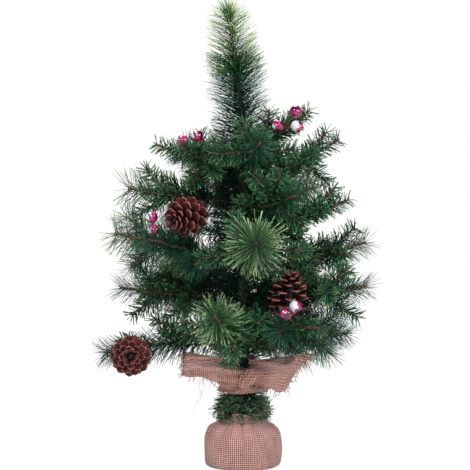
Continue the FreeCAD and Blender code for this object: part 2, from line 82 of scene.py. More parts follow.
class Term:
    """A socket whose sums, products and powers add Math nodes to its tree."""

    def __init__(self, bench: Bench, socket: bpy.types.NodeSocket) -> None:
        """Wraps a socket.

        Args:
            bench: the tree's builder.
            socket: an output socket in that tree.
        """
        self.bench = bench
        self.socket = socket

    def math(self, operation: str, *values: Term | float) -> Term:
        """Adds one Math node.

        Args:
            operation: the node's operation.
            values: what its sockets take, in order.

        Returns:
            The node's result.
        """
        sockets = dict(enumerate(values))
        return self.bench.add("ShaderNodeMath", sockets, operation=operation).out()

    def __add__(self, other: Term | float) -> Term:
        """Adds."""
        return self.math("ADD", self, other)

    def __radd__(self, other: float) -> Term:
        """Adds, from the right."""
        return self.math("ADD", other, self)

    def __sub__(self, other: Term | float) -> Term:
        """Subtracts."""
        return self.math("SUBTRACT", self, other)

    def __rsub__(self, other: float) -> Term:
        """Is subtracted from a number."""
        return self.math("SUBTRACT", other, self)

    def __mul__(self, other: Term | float) -> Term:
        """Multiplies."""
        return self.math("MULTIPLY", self, other)

    def __rmul__(self, other: float) -> Term:
        """Multiplies, from the right."""
        return self.math("MULTIPLY", other, self)

    def __truediv__(self, other: Term | float) -> Term:
        """Divides."""
        return self.math("DIVIDE", self, other)

    def __pow__(self, other: float) -> Term:
        """Raises to a power."""
        return self.math("POWER", self, other)

    def floor(self) -> Term:
        """Rounds down."""
        return self.math("FLOOR", self)

    def fraction(self) -> Term:
        """The part after the point."""
        return self.math("FRACT", self)

    def size(self) -> Term:
        """The value without its sign."""
        return self.math("ABSOLUTE", self)

    def sine(self) -> Term:
        """The sine of radians."""
        return self.math("SINE", self)

    def cosine(self) -> Term:
        """The cosine of radians."""
        return self.math("COSINE", self)

    def largest(self, other: Term | float) -> Term:
        """The larger of two."""
        return self.math("MAXIMUM", self, other)

    def ramp(self, low: float, high: float) -> Term:
        """Rises smoothly from 0 at low to 1 at high.

        Args:
            low: where it leaves 0.
            high: where it reaches 1.

        Returns:
            The smooth step.
        """
        sockets = {"Value": self, "From Min": low, "From Max": high}
        return self.bench.add("ShaderNodeMapRange", sockets, interpolation_type="SMOOTHSTEP").out()


class Made:
    """A node that the bench has added."""

    def __init__(self, bench: Bench, node: bpy.types.Node) -> None:
        """Keeps the node with its bench."""
        self.bench = bench
        self.node = node

    def out(self, name: str | None = None) -> Term:
        """An output of the node.

        Args:
            name: the output's name, or None for the first.

        Returns:
            The output as a term.
        """
        shown = [socket for socket in self.node.outputs if socket.enabled]
        found = shown[0] if name is None else next(s for s in shown if s.name == name)
        return Term(self.bench, found)


class Bench:
    """Builds one node tree, for a material or for geometry."""

    def __init__(self, tree: bpy.types.NodeTree) -> None:
        """Works on a tree."""
        self.tree = tree

    def add(
        self, kind: str, sockets: dict[str | int, object] | None = None, **settings: str
    ) -> Made:
        """Adds a node of any type.

        Args:
            kind: the node's type.
            sockets: values or links for its inputs, by name, or by place among those shown.
            settings: its properties, set before its sockets.

        Returns:
            The node.
        """
        node = self.tree.nodes.new(kind)
        for name, value in settings.items():
            setattr(node, name, value)
        shown = [socket for socket in node.inputs if socket.enabled]
        for name, value in (sockets or {}).items():
            socket = shown[name] if isinstance(name, int) else next(s for s in shown if s.name == name)
            if isinstance(value, Term):
                self.tree.links.new(value.socket, socket)
            elif isinstance(value, (tuple, list)) and len(socket.default_value) == 4:
                socket.default_value = (*value[:3], 1.0)
            else:
                socket.default_value = value
        return Made(self, node)

    def combined(self, **parts: Term | float) -> Term:
        """A vector from its X, Y and Z."""
        return self.add("ShaderNodeCombineXYZ", parts).out()

    def vector(
        self, operation: str, *values: Term | tuple[float, ...], scale: Term | float | None = None
    ) -> Term:
        """Adds one Vector Math node.

        Args:
            operation: the node's operation.
            values: its vectors, in order.
            scale: the factor of a SCALE operation.

        Returns:
            The node's result.
        """
        sockets: dict[str | int, object] = dict(enumerate(values))
        if scale is not None:
            sockets["Scale"] = scale
        return self.add("ShaderNodeVectorMath", sockets, operation=operation).out()

    def blend(self, share: Term | float, first: object, second: object, mode: str = "MIX") -> Term:
        """Mixes two colours.

        Args:
            share: how much of the second.
            first: a colour or a link.
            second: a colour or a link.
            mode: how they mix.

        Returns:
            The mixed colour.
        """
        sockets = {"Factor": share, "A": first, "B": second}
        return self.add("ShaderNodeMix", sockets, data_type="RGBA", blend_type=mode).out("Result")

    def noise(self, place: Term, scale: float, detail: float = 3.0) -> Term:
        """Adds cloudy noise.

        Args:
            place: where it is read.
            scale: how many clouds fit in a metre.
            detail: how many finer layers it has.

        Returns:
            The noise, from 0 to 1.
        """
        sockets = {"Vector": place, "Scale": scale, "Detail": detail}
        return self.add("ShaderNodeTexNoise", sockets).out()

    def attribute(self, name: str) -> Term:
        """Reads a number that the surface carries.

        Args:
            name: the number's name.

        Returns:
            The number.
        """
        return self.add("ShaderNodeAttribute", attribute_name=name).out("Fac")

    def place(self) -> Term:
        """Reads the surface's place.

        Returns:
            The place in the object's own frame.
        """
        return self.add("ShaderNodeTexCoord").out("Object")

    def spoke(self, first: Term, second: Term, turn: Term, reach: Term | float = 1.0) -> Term:
        """A vector between two others, at an angle.

        Args:
            first: the vector at angle 0.
            second: the vector at a right angle.
            turn: the angle.
            reach: the length.

        Returns:
            The vector.
        """
        return self.vector(
            "ADD",
            self.vector("SCALE", first, scale=turn.cosine() * reach),
            self.vector("SCALE", second, scale=turn.sine() * reach),
        )


def emptied(owner: bpy.types.Material | bpy.types.World) -> Bench:
    """Gives a material or a world an empty node tree.

    Args:
        owner: the material or world.

    Returns:
        The tree's builder.
    """
    owner.use_nodes = True
    owner.node_tree.nodes.clear()
    return Bench(owner.node_tree)


def placed(name: str, data: bpy.types.ID) -> bpy.types.Object:
    """Puts an object into the scene.

    Args:
        name: the object's name.
        data: its mesh, light or camera.

    Returns:
        The object.
    """
    made = bpy.data.objects.new(name, data)
    bpy.context.scene.collection.objects.link(made)
    return made


def shell(
    name: str, points: list, edges: list[tuple[int, int]], faces: list[tuple[int, ...]]
) -> bpy.types.Mesh:
    """A mesh with smooth faces.

    Args:
        name: the mesh's name.
        points: its points.
        edges: pairs of points that no face joins.
        faces: rounds of points.

    Returns:
        The mesh.
    """
    mesh = bpy.data.meshes.new(name)
    mesh.from_pydata(points, edges, faces)
    mesh.polygons.foreach_set("use_smooth", [True] * len(faces))
    return mesh


class Finish:
    """A surface finish: makes its material once and hands it out."""

    label: str

    def material(self) -> bpy.types.Material:
        """The finish's material.

        Returns:
            The material, made on the first call.
        """
        name = self.label + "_finish"
        found = bpy.data.materials.get(name)
        if found:
            return found
        made = bpy.data.materials.new(name)
        bench = emptied(made)
        shader = bench.add("ShaderNodeBsdfPrincipled", self.sockets(bench))
        bench.add("ShaderNodeOutputMaterial", {"Surface": shader.out()})
        return made

    def sockets(self, bench: Bench) -> dict[str, object]:
        """What the finish's shader takes."""
        raise NotImplementedError

    @staticmethod
    def bump(bench: Bench, height: Term, depth: float, strength: float = 1.0) -> Term:
        """A Bump node over a height.

        Args:
            bench: the material's tree.
            height: from 0 to 1.
            depth: what 1 stands for, in metres.
            strength: how much of it shows.

        Returns:
            The bent normal.
        """
        sockets = {"Height": height, "Distance": depth, "Strength": strength}
        return bench.add("ShaderNodeBump", sockets).out()


@dataclass(frozen=True)
class NeedleFinish(Finish):
    """Cut strips of plastic film: painted shade darkens them at the wire; the lighter cut end is partly
    their own paler tip, partly painted light.
    """

    label: str
    root: tuple[float, float, float]
    middle: tuple[float, float, float]
    end: tuple[float, float, float]
    roughness: float = 0.33

    def sockets(self, bench: Bench) -> dict[str, object]:
        """Colours each needle along its length, from painted shade at the wire to a partly painted light
        end, and with a random tone that differs from its neighbours.

        Args:
            bench: the material's tree.

        Returns:
            The shader's values and links, by socket.
        """
        reach = bench.attribute("reach")
        tint = bench.attribute("tint")
        # painted shade: the root colour darkens each needle near the wire, deep in the brush where shade
        # falls; the end colour, partly painted light, brightens the tip
        low = bench.blend(reach.ramp(0.0, 0.62), self.root, self.middle)
        along = bench.blend(reach.ramp(0.55, 1.0) ** 1.3, low, self.end)
        random_tone = bench.blend(tint ** 1.6, (0.42, 0.48, 0.46), (1.75, 1.62, 1.30))
        return {
            "Base Color": bench.blend(1.0, along, random_tone, "MULTIPLY"),
            "Roughness": tint * 0.18 + self.roughness,
            "Specular IOR Level": 0.45,
        }


@dataclass(frozen=True)
class WireFinish(Finish):
    """Twisted wire with a matt brown coat, mottled with lighter worn patches."""

    label: str = "coated_wire"
    coat: tuple[float, float, float] = (0.17, 0.085, 0.045)
    worn: tuple[float, float, float] = (0.34, 0.19, 0.11)

    def sockets(self, bench: Bench) -> dict[str, object]:
        """Mottles the coat.

        Args:
            bench: the material's tree.

        Returns:
            The shader's values and links, by socket.
        """
        place = bench.place()
        mottle = bench.noise(place, 420.0, 4.0)
        return {
            "Base Color": bench.blend(mottle.ramp(0.42, 0.68), self.coat, self.worn),
            "Roughness": mottle * 0.25 + 0.45,
            "Normal": self.bump(bench, mottle, 0.0002, 0.6),
        }


@dataclass(frozen=True)
class PaintFinish(Finish):
    """Green enamel on the steel pole."""

    label: str = "pole_enamel"
    colour: tuple[float, float, float] = (0.035, 0.09, 0.04)

    def sockets(self, bench: Bench) -> dict[str, object]:
        """Adds orange peel and faint scuffs.

        Args:
            bench: the material's tree.

        Returns:
            The shader's values and links, by socket.
        """
        place = bench.place()
        peel = bench.noise(place, 900.0, 2.0)
        scuff = bench.noise(place, 60.0, 5.0).ramp(0.6, 0.8)
        return {
            "Base Color": bench.blend(scuff * 0.4, self.colour, (0.10, 0.15, 0.10)),
            "Roughness": scuff * 0.3 + 0.32,
            "Normal": self.bump(bench, peel, 0.00005, 0.5),
        }


@dataclass(frozen=True)
class TapeFinish(Finish):
    """Stretchy tape wound round the pole and the branch ends."""

    label: str = "wound_tape"
    pitch: float = 0.009

    def sockets(self, bench: Bench) -> dict[str, object]:
        """Draws the tape's overlapping turns as a slanting step.

        Args:
            bench: the material's tree.

        Returns:
            The shader's values and links, by socket.
        """
        place = bench.place()
        parts = bench.add("ShaderNodeSeparateXYZ", {0: place})
        angle = parts.out("Y").math("ARCTAN2", parts.out("Y"), parts.out("X"))
        turn = (parts.out("Z") / self.pitch + angle / math.tau).fraction()
        fibre = bench.noise(place, 700.0, 3.0)
        edge = turn.ramp(0.0, 0.12)
        return {
            "Base Color": bench.blend(edge, (0.006, 0.014, 0.007), (0.022, 0.045, 0.022)),
            "Roughness": fibre * 0.2 + 0.6,
            "Normal": self.bump(bench, edge + fibre * 0.2, 0.0004, 0.8),
        }


@dataclass(frozen=True)
class CastFinish(Finish):
    """Cast cement with pits and grit."""

    label: str = "cast_cement"

    def sockets(self, bench: Bench) -> dict[str, object]:
        """Mixes grit and pits.

        Args:
            bench: the material's tree.

        Returns:
            The shader's values and links, by socket.
        """
        place = bench.place()
        grit = bench.noise(place, 500.0, 6.0)
        cloud = bench.noise(place, 40.0, 3.0)
        return {
            "Base Color": bench.blend(cloud, (0.30, 0.29, 0.27), (0.52, 0.50, 0.46)),
            "Roughness": grit * 0.2 + 0.75,
            "Normal": self.bump(bench, grit, 0.0006, 0.8),
        }


@dataclass(frozen=True)
class PotFinish(Finish):
    """Thin dark moulded plastic."""

    label: str = "pot_plastic"

    def sockets(self, bench: Bench) -> dict[str, object]:
        """Adds a fine moulded grain.

        Args:
            bench: the material's tree.

        Returns:
            The shader's values and links, by socket.
        """
        grain = bench.noise(bench.place(), 1400.0, 2.0)
        return {
            "Base Color": bench.blend(grain, (0.020, 0.015, 0.012), (0.045, 0.032, 0.025)),
            "Roughness": grain * 0.15 + 0.5,
            "Normal": self.bump(bench, grain, 0.00008, 0.6),
        }


@dataclass(frozen=True)
class ConeFinish(Finish):
    """Dry pine cone scales: red-brown at the tip with a pale worn rim; near black at the root and on the
    core, which is painted shade deep inside the cone.
    """

    label: str = "cone_scale"

    def sockets(self, bench: Bench) -> dict[str, object]:
        """Colours each scale along its length, with painted shade at its root, and across its rim.

        Args:
            bench: the material's tree.

        Returns:
            The shader's values and links, by socket.
        """
        place = bench.place()
        reach = bench.attribute("reach")
        rim = bench.attribute("rim")
        tint = bench.attribute("tint")
        grain = bench.noise(place, 900.0, 5.0)
        # painted shade: the scale's root and the core (which carries no reach) are near black, deep inside
        # the cone where shade falls
        low = bench.blend(reach.ramp(0.25, 0.8), (0.010, 0.002, 0.003), (0.098, 0.016, 0.017))
        edge = bench.blend((rim * 0.8 + grain * 0.4 - 0.2).ramp(0.35, 0.95), low, (0.44, 0.140, 0.135))
        random_tone = bench.blend(tint, (0.62, 0.60, 0.60), (1.25, 1.2, 1.15))
        return {
            "Base Color": bench.blend(1.0, edge, random_tone, "MULTIPLY"),
            "Roughness": grain * 0.25 + 0.42,
            "Coat Weight": reach.ramp(0.7, 1.0) * 0.15,
            "Coat Roughness": 0.4,
            "Normal": self.bump(bench, grain, 0.0004, 0.7),
        }


@dataclass(frozen=True)
class BerryFinish(Finish):
    """Lacquered berry; a white sugary patch on its lamp-facing side is a painted highlight, the key lamp's
    reflection drawn as frosting.
    """

    label: str = "berry_lacquer"
    lacquer: tuple[float, float, float] = (0.46, 0.002, 0.140)
    deep: tuple[float, float, float] = (0.055, 0.001, 0.024)
    # the patch's bluish white: painted highlight, the key lamp's reflection drawn as frosting
    frost: tuple[float, float, float] = (0.80, 0.82, 0.88)

    def sockets(self, bench: Bench) -> dict[str, object]:
        """Lays the white patch, a painted highlight drawn as frosting, over the lacquer where the berry
        carries it.

        Args:
            bench: the material's tree.

        Returns:
            The shader's values and links, by socket.
        """
        place = bench.place()
        sugar = bench.noise(place, 1500.0, 2.0)
        cloud = bench.noise(place, 95.0, 1.0)
        # painted highlight: the white frosting patch on the berry's lamp-facing side
        frost = (bench.attribute("frost") + (sugar - 0.5) * 0.20).ramp(0.46, 0.62)
        skin = bench.blend(cloud.ramp(0.40, 0.60), self.deep, self.lacquer)
        return {
            "Base Color": bench.blend(frost, skin, self.frost),
            "Roughness": frost * 0.5 + 0.12,
            "Coat Weight": 1.0 - frost,
            "Coat Roughness": 0.06,
            "Normal": self.bump(bench, sugar * frost, 0.0006, 0.8),
        }


@dataclass(frozen=True)
class BurlapFinish(Finish):
    """Open jute weave, laid out on the cloth's own UV map in metres."""

    label: str = "burlap_weave"
    pitch: float = 0.0025
    thread: float = 0.31
    # dark is painted shade beside and between the threads, light the lit crests; noise mixes in the jute's
    # own uneven tone
    dark: tuple[float, float, float] = (0.125, 0.040, 0.032)
    light: tuple[float, float, float] = (1.0, 0.56, 0.50)
    wander: float = 0.0022
    uneven: float = 0.26
    crossing: float = 0.28

    def sockets(self, bench: Bench) -> dict[str, object]:
        """Weaves uneven threads over and under each other, with gaps between them, lit on their crests and
        with painted shade where they sink.

        Args:
            bench: the material's tree.

        Returns:
            The shader's values and links, by socket.
        """
        cloth = bench.add("ShaderNodeUVMap", uv_map="cloth").out()
        clouds = bench.add("ShaderNodeTexNoise", {"Vector": cloth, "Scale": 55.0, "Detail": 2.0})
        centred = bench.vector("SUBTRACT", clouds.out("Color"), (0.5, 0.5, 0.5))
        shifted = bench.vector("ADD", cloth, bench.vector("SCALE", centred, scale=self.wander))
        parts = bench.add("ShaderNodeSeparateXYZ", {0: shifted})
        warp, weft = parts.out("X") / self.pitch, parts.out("Y") / self.pitch
        across_warp = (warp.fraction() - 0.5).size()
        across_weft = (weft.fraction() - 0.5).size()
        slub_warp = self.slub(bench, warp.floor(), weft * 0.16)
        slub_weft = self.slub(bench, weft.floor() + 31.7, warp * 0.16)
        half_warp = slub_warp * self.uneven + (self.thread - self.uneven / 2)
        half_weft = slub_weft * self.uneven + (self.thread - self.uneven / 2)
        odd = ((warp.floor() + weft.floor()) * 0.5).fraction() * 4.0 - 1.0
        ridge_warp = (1.0 - across_warp / half_warp).largest(0.0) ** 0.5
        ridge_weft = (1.0 - across_weft / half_weft).largest(0.0) ** 0.5
        over = (weft.fraction() * math.pi).sine() * odd * self.crossing
        under = (warp.fraction() * math.pi).sine() * odd * -self.crossing
        top_warp = ridge_warp * (over + (1.0 - self.crossing))
        top_weft = ridge_weft * (under + (1.0 - self.crossing))
        height = top_warp.largest(top_weft)
        solid = height.ramp(0.02, 0.10)
        fibre = bench.noise(cloth, 2600.0, 3.0)
        cloud = bench.noise(cloth, 26.0, 3.0)
        # painted light and shade: crests are lit and the weave darkens where its threads sink and beside
        # them; fibre, slub and cloud noise add the jute's own uneven tone
        lit = (height * 0.80 + fibre * 0.35 + slub_warp * 0.12 + cloud * 0.25 - 0.38).ramp(0.12, 0.78)
        return {
            "Base Color": bench.blend(lit, self.dark, self.light),
            "Roughness": fibre * 0.15 + 0.8,
            "Alpha": solid,
            "Sheen Weight": 0.25,
            "Sheen Roughness": 0.6,
            "Normal": self.bump(bench, height + fibre * 0.25, 0.0007, 0.9),
        }

    @staticmethod
    def slub(bench: Bench, thread: Term, along: Term) -> Term:
        """How thick one thread is at one place, from 0 to 1.

        Args:
            bench: the material's tree.
            thread: the thread's number.
            along: how far along it.

        Returns:
            The thickness.
        """
        return bench.noise(bench.combined(X=thread * 3.7, Y=along, Z=thread * 0.37), 1.0, 2.0)


@dataclass(frozen=True)
class TwineFinish(Finish):
    """Jute twine and loose threads."""

    label: str = "jute_twine"

    def sockets(self, bench: Bench) -> dict[str, object]:
        """Adds fibres along the twine.

        Args:
            bench: the material's tree.

        Returns:
            The shader's values and links, by socket.
        """
        fibre = bench.noise(bench.place(), 1600.0, 4.0)
        return {
            "Base Color": bench.blend(fibre, (0.26, 0.15, 0.10), (0.60, 0.41, 0.31)),
            "Roughness": fibre * 0.1 + 0.82,
            "Normal": self.bump(bench, fibre, 0.0003, 0.8),
        }


@dataclass(frozen=True)
class NeedleCut:
    """How one kind of needle is cut and set on its wire.

    Length, width and spacing along the wire are in metres, the lean from the wire in degrees. Bow is
    a share of the length, and pointed is how much narrower the end is.
    """

    length: float
    width: float
    lean: float
    spacing: float
    bow: float
    pointed: float
    finish: NeedleFinish


class Needles(Enum):
    """The kinds of needle on the tree."""

    # Each finish's colours run from the root (painted shade inside the brush), through the needle's own
    # green, to the end (partly its paler tip, partly painted light).
    SOFT = NeedleCut(0.044, 0.00125, 66.0, 0.00038, 0.10, 0.25, NeedleFinish(
        "needle_soft", (0.008, 0.040, 0.016), (0.055, 0.170, 0.060), (0.42, 0.60, 0.36)))
    FLAT = NeedleCut(0.0205, 0.00200, 60.0, 0.00056, 0.14, 0.15, NeedleFinish(
        "needle_flat", (0.004, 0.030, 0.014), (0.016, 0.105, 0.046), (0.100, 0.270, 0.120)))
    FINE = NeedleCut(0.035, 0.00100, 54.0, 0.00030, 0.08, 0.55, NeedleFinish(
        "needle_fine", (0.003, 0.026, 0.015), (0.008, 0.085, 0.050), (0.045, 0.200, 0.110)))
    LEADER = NeedleCut(0.044, 0.00100, 66.0, 0.00018, 0.08, 0.30, NeedleFinish(
        "needle_leader", (0.010, 0.050, 0.014), (0.100, 0.250, 0.055), (0.62, 0.78, 0.38)))
    # A darker copy of the needles for the insides of the branches and the trunk: its colours are painted
    # shade, where the tree's inside falls in shade.
    INNER = NeedleCut(0.034, 0.0013, 66.0, 0.00034, 0.10, 0.25, NeedleFinish(
        "needle_inner", (0.002, 0.016, 0.009), (0.004, 0.040, 0.020), (0.014, 0.090, 0.040)))
    TINSEL = NeedleCut(0.030, 0.0014, 80.0, 0.00034, 0.14, 0.25, NeedleFinish(
        "needle_tinsel", (0.006, 0.030, 0.018), (0.026, 0.085, 0.050), (0.22, 0.36, 0.24)))


class NodeGroup:
    """A geometry node tree with named inputs."""

    def __init__(self, name: str) -> None:
        """Starts an empty tree with a geometry output.

        Args:
            name: the tree's name.
        """
        self.tree = bpy.data.node_groups.new(name, "GeometryNodeTree")
        self.bench = Bench(self.tree)
        for way in ("INPUT", "OUTPUT"):
            self.tree.interface.new_socket(name="Geometry", in_out=way, socket_type="NodeSocketGeometry")
        self.source = self.bench.add("NodeGroupInput")

    def entry(self, name: str, kind: str = "Float") -> Term:
        """Adds a named input.

        Args:
            name: the input's name.
            kind: its socket type, without the prefix.

        Returns:
            The input as a term.
        """
        self.tree.interface.new_socket(name=name, in_out="INPUT", socket_type=f"NodeSocket{kind}")
        return self.source.out(name)

    def curve(self) -> Term:
        """The incoming edges.

        Returns:
            The edges as curves.
        """
        return self.bench.add("GeometryNodeMeshToCurve", {"Mesh": self.source.out("Geometry")}).out()

    def keep(self, geometry: Term, name: str, value: Term, domain: str = "POINT") -> Term:
        """Stores a number on geometry.

        Args:
            geometry: what carries it.
            name: the number's name.
            value: the number.
            domain: what has one each.

        Returns:
            The geometry with its number.
        """
        sockets = {"Geometry": geometry, "Name": name, "Value": value}
        store = self.bench.add("GeometryNodeStoreNamedAttribute", sockets, data_type="FLOAT", domain=domain)
        return store.out()

    def read(self, name: str, kind: str = "FLOAT") -> Term:
        """Reads a stored attribute.

        Args:
            name: the attribute's name.
            kind: its type.

        Returns:
            The attribute.
        """
        return self.bench.add("GeometryNodeInputNamedAttribute", {"Name": name}, data_type=kind).out()

    def spread(self, points: Term, instance: Term, facing: Term, size: Term, seed: Term) -> Term:
        """Sets an instance with a tint of its own on every point.

        Args:
            points: where they stand.
            instance: what stands there.
            facing: how each is turned.
            size: how each is scaled.
            seed: tells the tints from other draws.

        Returns:
            The instances.
        """
        sockets = {"Points": points, "Instance": instance, "Rotation": facing, "Scale": size}
        placed = self.bench.add("GeometryNodeInstanceOnPoints", sockets).out()
        return self.keep(placed, "tint", random_between(self.bench, 0.0, 1.0, seed), "INSTANCE")

    def tube(self, curve: Term, ring: Term, thick: Term | float = 1.0) -> Term:
        """Sweeps a ring along a curve.

        Args:
            curve: the curve.
            ring: the ring.
            thick: how the ring is scaled along it.

        Returns:
            The closed tube.
        """
        sockets = {"Curve": curve, "Profile Curve": ring, "Scale": thick, "Fill Caps": True}
        return self.bench.add("GeometryNodeCurveToMesh", sockets).out()

    def ring(self, sides: int, radius: Term | float) -> Term:
        """A many-sided ring.

        Args:
            sides: how many sides.
            radius: its radius.

        Returns:
            The ring.
        """
        sockets = {"Resolution": sides, "Radius": radius}
        return self.bench.add("GeometryNodeCurvePrimitiveCircle", sockets).out()

    def finish(self, geometry: Term) -> None:
        """Realizes the instances and ends the tree.

        Args:
            geometry: what the tree has made.
        """
        real = self.bench.add("GeometryNodeRealizeInstances", {"Geometry": geometry}).out()
        sockets = {"Geometry": real, "Material": self.entry("Material", "Material")}
        dressed = self.bench.add("GeometryNodeSetMaterial", sockets).out()
        self.bench.add("NodeGroupOutput", {"Geometry": dressed})

    def grow(self, name: str, base: bpy.types.Mesh, values: dict[str, object]) -> bpy.types.Mesh:
        """Runs the tree on a mesh.

        Args:
            name: the new mesh's name.
            base: the mesh that the tree works on.
            values: each input's value, by its name.

        Returns:
            The result as a plain mesh.
        """
        carrier = placed(name, base)
        modifier = carrier.modifiers.new("grow", "NODES")
        modifier.node_group = self.tree
        items = self.tree.interface.items_tree
        sockets = {item.name: item.identifier for item in items if item.in_out == "INPUT"}
        for key, value in values.items():
            modifier[sockets[key]] = value
        graph = bpy.context.evaluated_depsgraph_get()
        made = bpy.data.meshes.new_from_object(
            carrier.evaluated_get(graph), preserve_all_data_layers=True, depsgraph=graph
        )
        made.name = name
        carrier.modifiers.remove(modifier)
        bpy.data.objects.remove(carrier)
        return made


def random_between(bench: Bench, low: float | Term, high: float | Term, seed: Term | int) -> Term:
    """A random number for each point.

    Args:
        bench: the geometry tree.
        low: the least.
        high: the most.
        seed: what tells one use from another.

    Returns:
        The number.
    """
    sockets = {"Min": low, "Max": high, "Seed": seed}
    return bench.add("FunctionNodeRandomValue", sockets, data_type="FLOAT").out()


class NeedleBrush(NodeGroup):
    """Sets needles in a spiral round every wire that it is given."""

    def __init__(self) -> None:
        """Builds the tree."""
        super().__init__("needle_brush")
        bench = self.bench
        length, width = self.entry("Length"), self.entry("Width")
        lean, spacing = self.entry("Lean"), self.entry("Spacing")
        bow, pointed = self.entry("Bow"), self.entry("Pointed")
        shorten, droop = self.entry("Shorten"), self.entry("Droop")
        seed = self.entry("Seed", "Int")
        template = self.needle(length, width, bow, pointed)
        along = bench.add("GeometryNodeSplineParameter").out("Factor")
        curve = self.keep(self.curve(), "along", along)
        spaced = {"Curve": curve, "Length": spacing}
        points = bench.add("GeometryNodeCurveToPoints", spaced, mode="LENGTH")
        tangent, normal = points.out("Tangent"), points.out("Normal")
        other = bench.vector("CROSS_PRODUCT", tangent, normal)
        index = bench.add("GeometryNodeInputIndex").out()
        turn = index * GOLDEN_ANGLE + random_between(bench, -0.6, 0.6, seed)
        tilt = lean * random_between(bench, 0.72, 1.2, seed + 1)
        heading = bench.spoke(tangent, bench.spoke(normal, other, turn), tilt)
        heading = bench.vector("ADD", heading, bench.combined(Z=droop * -1.0))
        facing = bench.add("FunctionNodeAlignRotationToVector", {"Vector": heading}, axis="Z").out()
        about = bench.combined(Z=random_between(bench, 0.0, MOST_TWIST, seed + 2))
        twist = bench.add("FunctionNodeEulerToRotation", {0: about}).out()
        sockets = {"Rotation": facing, "Rotate By": twist}
        facing = bench.add("FunctionNodeRotateRotation", sockets, rotation_space="LOCAL").out()
        share = self.read("along")
        size = random_between(bench, 0.78, 1.0, seed + 3) * (1.0 - shorten * share * share)
        self.finish(self.spread(points.out("Points"), template, facing, size, seed + 4))

    def needle(self, length: Term, width: Term, bow: Term, pointed: Term) -> Term:
        """One needle, standing on its root along +Z.

        Args:
            length: its length.
            width: its width.
            bow: how far it bends, as a share of its length.
            pointed: how much narrower its end is.

        Returns:
            The needle's geometry.
        """
        bench = self.bench
        line = bench.add("GeometryNodeCurvePrimitiveLine", {"End": bench.combined(Z=length)}).out()
        line = bench.add("GeometryNodeResampleCurve", {"Curve": line, "Count": 4}, mode="COUNT").out()
        reach = bench.add("GeometryNodeSplineParameter").out("Factor")
        bend = bench.combined(X=reach * reach * bow * length)
        line = bench.add("GeometryNodeSetPosition", {"Geometry": line, "Offset": bend}).out()
        line = self.keep(line, "reach", reach)
        flat = {"Geometry": self.ring(3, 0.58), "Scale": (1.0, 0.42, 1.0)}
        ring = bench.add("GeometryNodeTransform", flat).out()
        return self.tube(line, ring, width * (1.0 - pointed * reach * reach))


class TwistedWire(NodeGroup):
    """Lays two strands round each other along every line that it is given."""

    def __init__(self) -> None:
        """Builds the tree."""
        super().__init__("twisted_wire")
        bench = self.bench
        radius, pitch = self.entry("Radius"), self.entry("Pitch")
        resample = {"Curve": self.curve(), "Length": pitch / 7.0}
        curve = bench.add("GeometryNodeResampleCurve", resample, mode="LENGTH").out()
        ring = self.ring(5, radius * 0.52)
        length = bench.add("GeometryNodeSplineParameter").out("Length")
        tangent = bench.add("GeometryNodeInputTangent").out()
        normal = bench.add("GeometryNodeInputNormal").out()
        other = bench.vector("CROSS_PRODUCT", tangent, normal)
        strands = bench.add("GeometryNodeJoinGeometry").node
        for start in (0.0, math.pi):
            turn = length / pitch * math.tau + start
            aside = bench.spoke(normal, other, turn, radius * 0.5)
            moved = bench.add("GeometryNodeSetPosition", {"Geometry": curve, "Offset": aside}).out()
            bench.tree.links.new(self.tube(moved, ring).socket, strands.inputs[0])
        self.finish(Term(bench, strands.outputs[0]))


class ConeScales(NodeGroup):
    """Sets a template scale at every point, turned as the point's attributes say."""

    def __init__(self, template: bpy.types.Object) -> None:
        """Builds the tree.

        Args:
            template: one scale, its root at the origin, reaching along +Z, its back towards +X.
        """
        super().__init__("cone_scales")
        bench = self.bench
        seed = self.entry("Seed", "Int")
        towards = {0: self.read("heading", "FLOAT_VECTOR"), 1: self.read("back", "FLOAT_VECTOR")}
        turned = bench.add("FunctionNodeAxesToRotation", towards, primary_axis="Z", secondary_axis="X")
        source = {"Mesh": self.source.out("Geometry")}
        points = bench.add("GeometryNodeMeshToPoints", source, mode="VERTICES").out()
        scale = bench.add("GeometryNodeObjectInfo", {"Object": template}).out("Geometry")
        self.finish(self.spread(points, scale, turned.out(), self.read("size"), seed))


def polar(radius: float, azimuth: float, height: float) -> Vector:
    """A point from its distance, its angle round the pole and its height."""
    return Vector((radius * math.cos(azimuth), radius * math.sin(azimuth), height))


def smooth(path: list[Vector], step: float = 0.006) -> list[Vector]:
    """A path rounded through its own points.

    Args:
        path: the points that it passes.
        step: about how far apart the new points are.

    Returns:
        The rounded path.
    """
    if len(path) < 3:
        return list(path)
    ends = [path[0] * 2 - path[1], *path, path[-1] * 2 - path[-2]]
    made = []
    for a, b, c, d in zip(ends, ends[1:], ends[2:], ends[3:]):
        count = max(2, int((c - b).length / step))
        for k in range(count):
            t = k / count
            made.append(0.5 * (
                2 * b + (c - a) * t + (2 * a - 5 * b + 4 * c - d) * t * t + (3 * b - a - 3 * c + d) * t ** 3
            ))
    return made + [path[-1]]


def line_mesh(name: str, paths: list[list[Vector]]) -> bpy.types.Mesh:
    """A mesh of bare edges along paths.

    Args:
        name: the mesh's name.
        paths: the paths.

    Returns:
        The mesh.
    """
    points: list[Vector] = []
    edges: list[tuple[int, int]] = []
    for path in paths:
        first = len(points)
        points += path
        edges += [(first + k, first + k + 1) for k in range(len(path) - 1)]
    return shell(name, points, edges, [])


def joined(name: str, meshes: list[bpy.types.Mesh]) -> bpy.types.Object:
    """One object made of several meshes, each keeping its materials and attributes.

    Args:
        name: the object's name.
        meshes: the meshes.

    Returns:
        The object.
    """
    parts = [placed(name, mesh) for mesh in meshes]
    if len(parts) > 1:
        with bpy.context.temp_override(active_object=parts[0], selected_editable_objects=parts):
            bpy.ops.object.join()
    parts[0].name = name
    return parts[0]


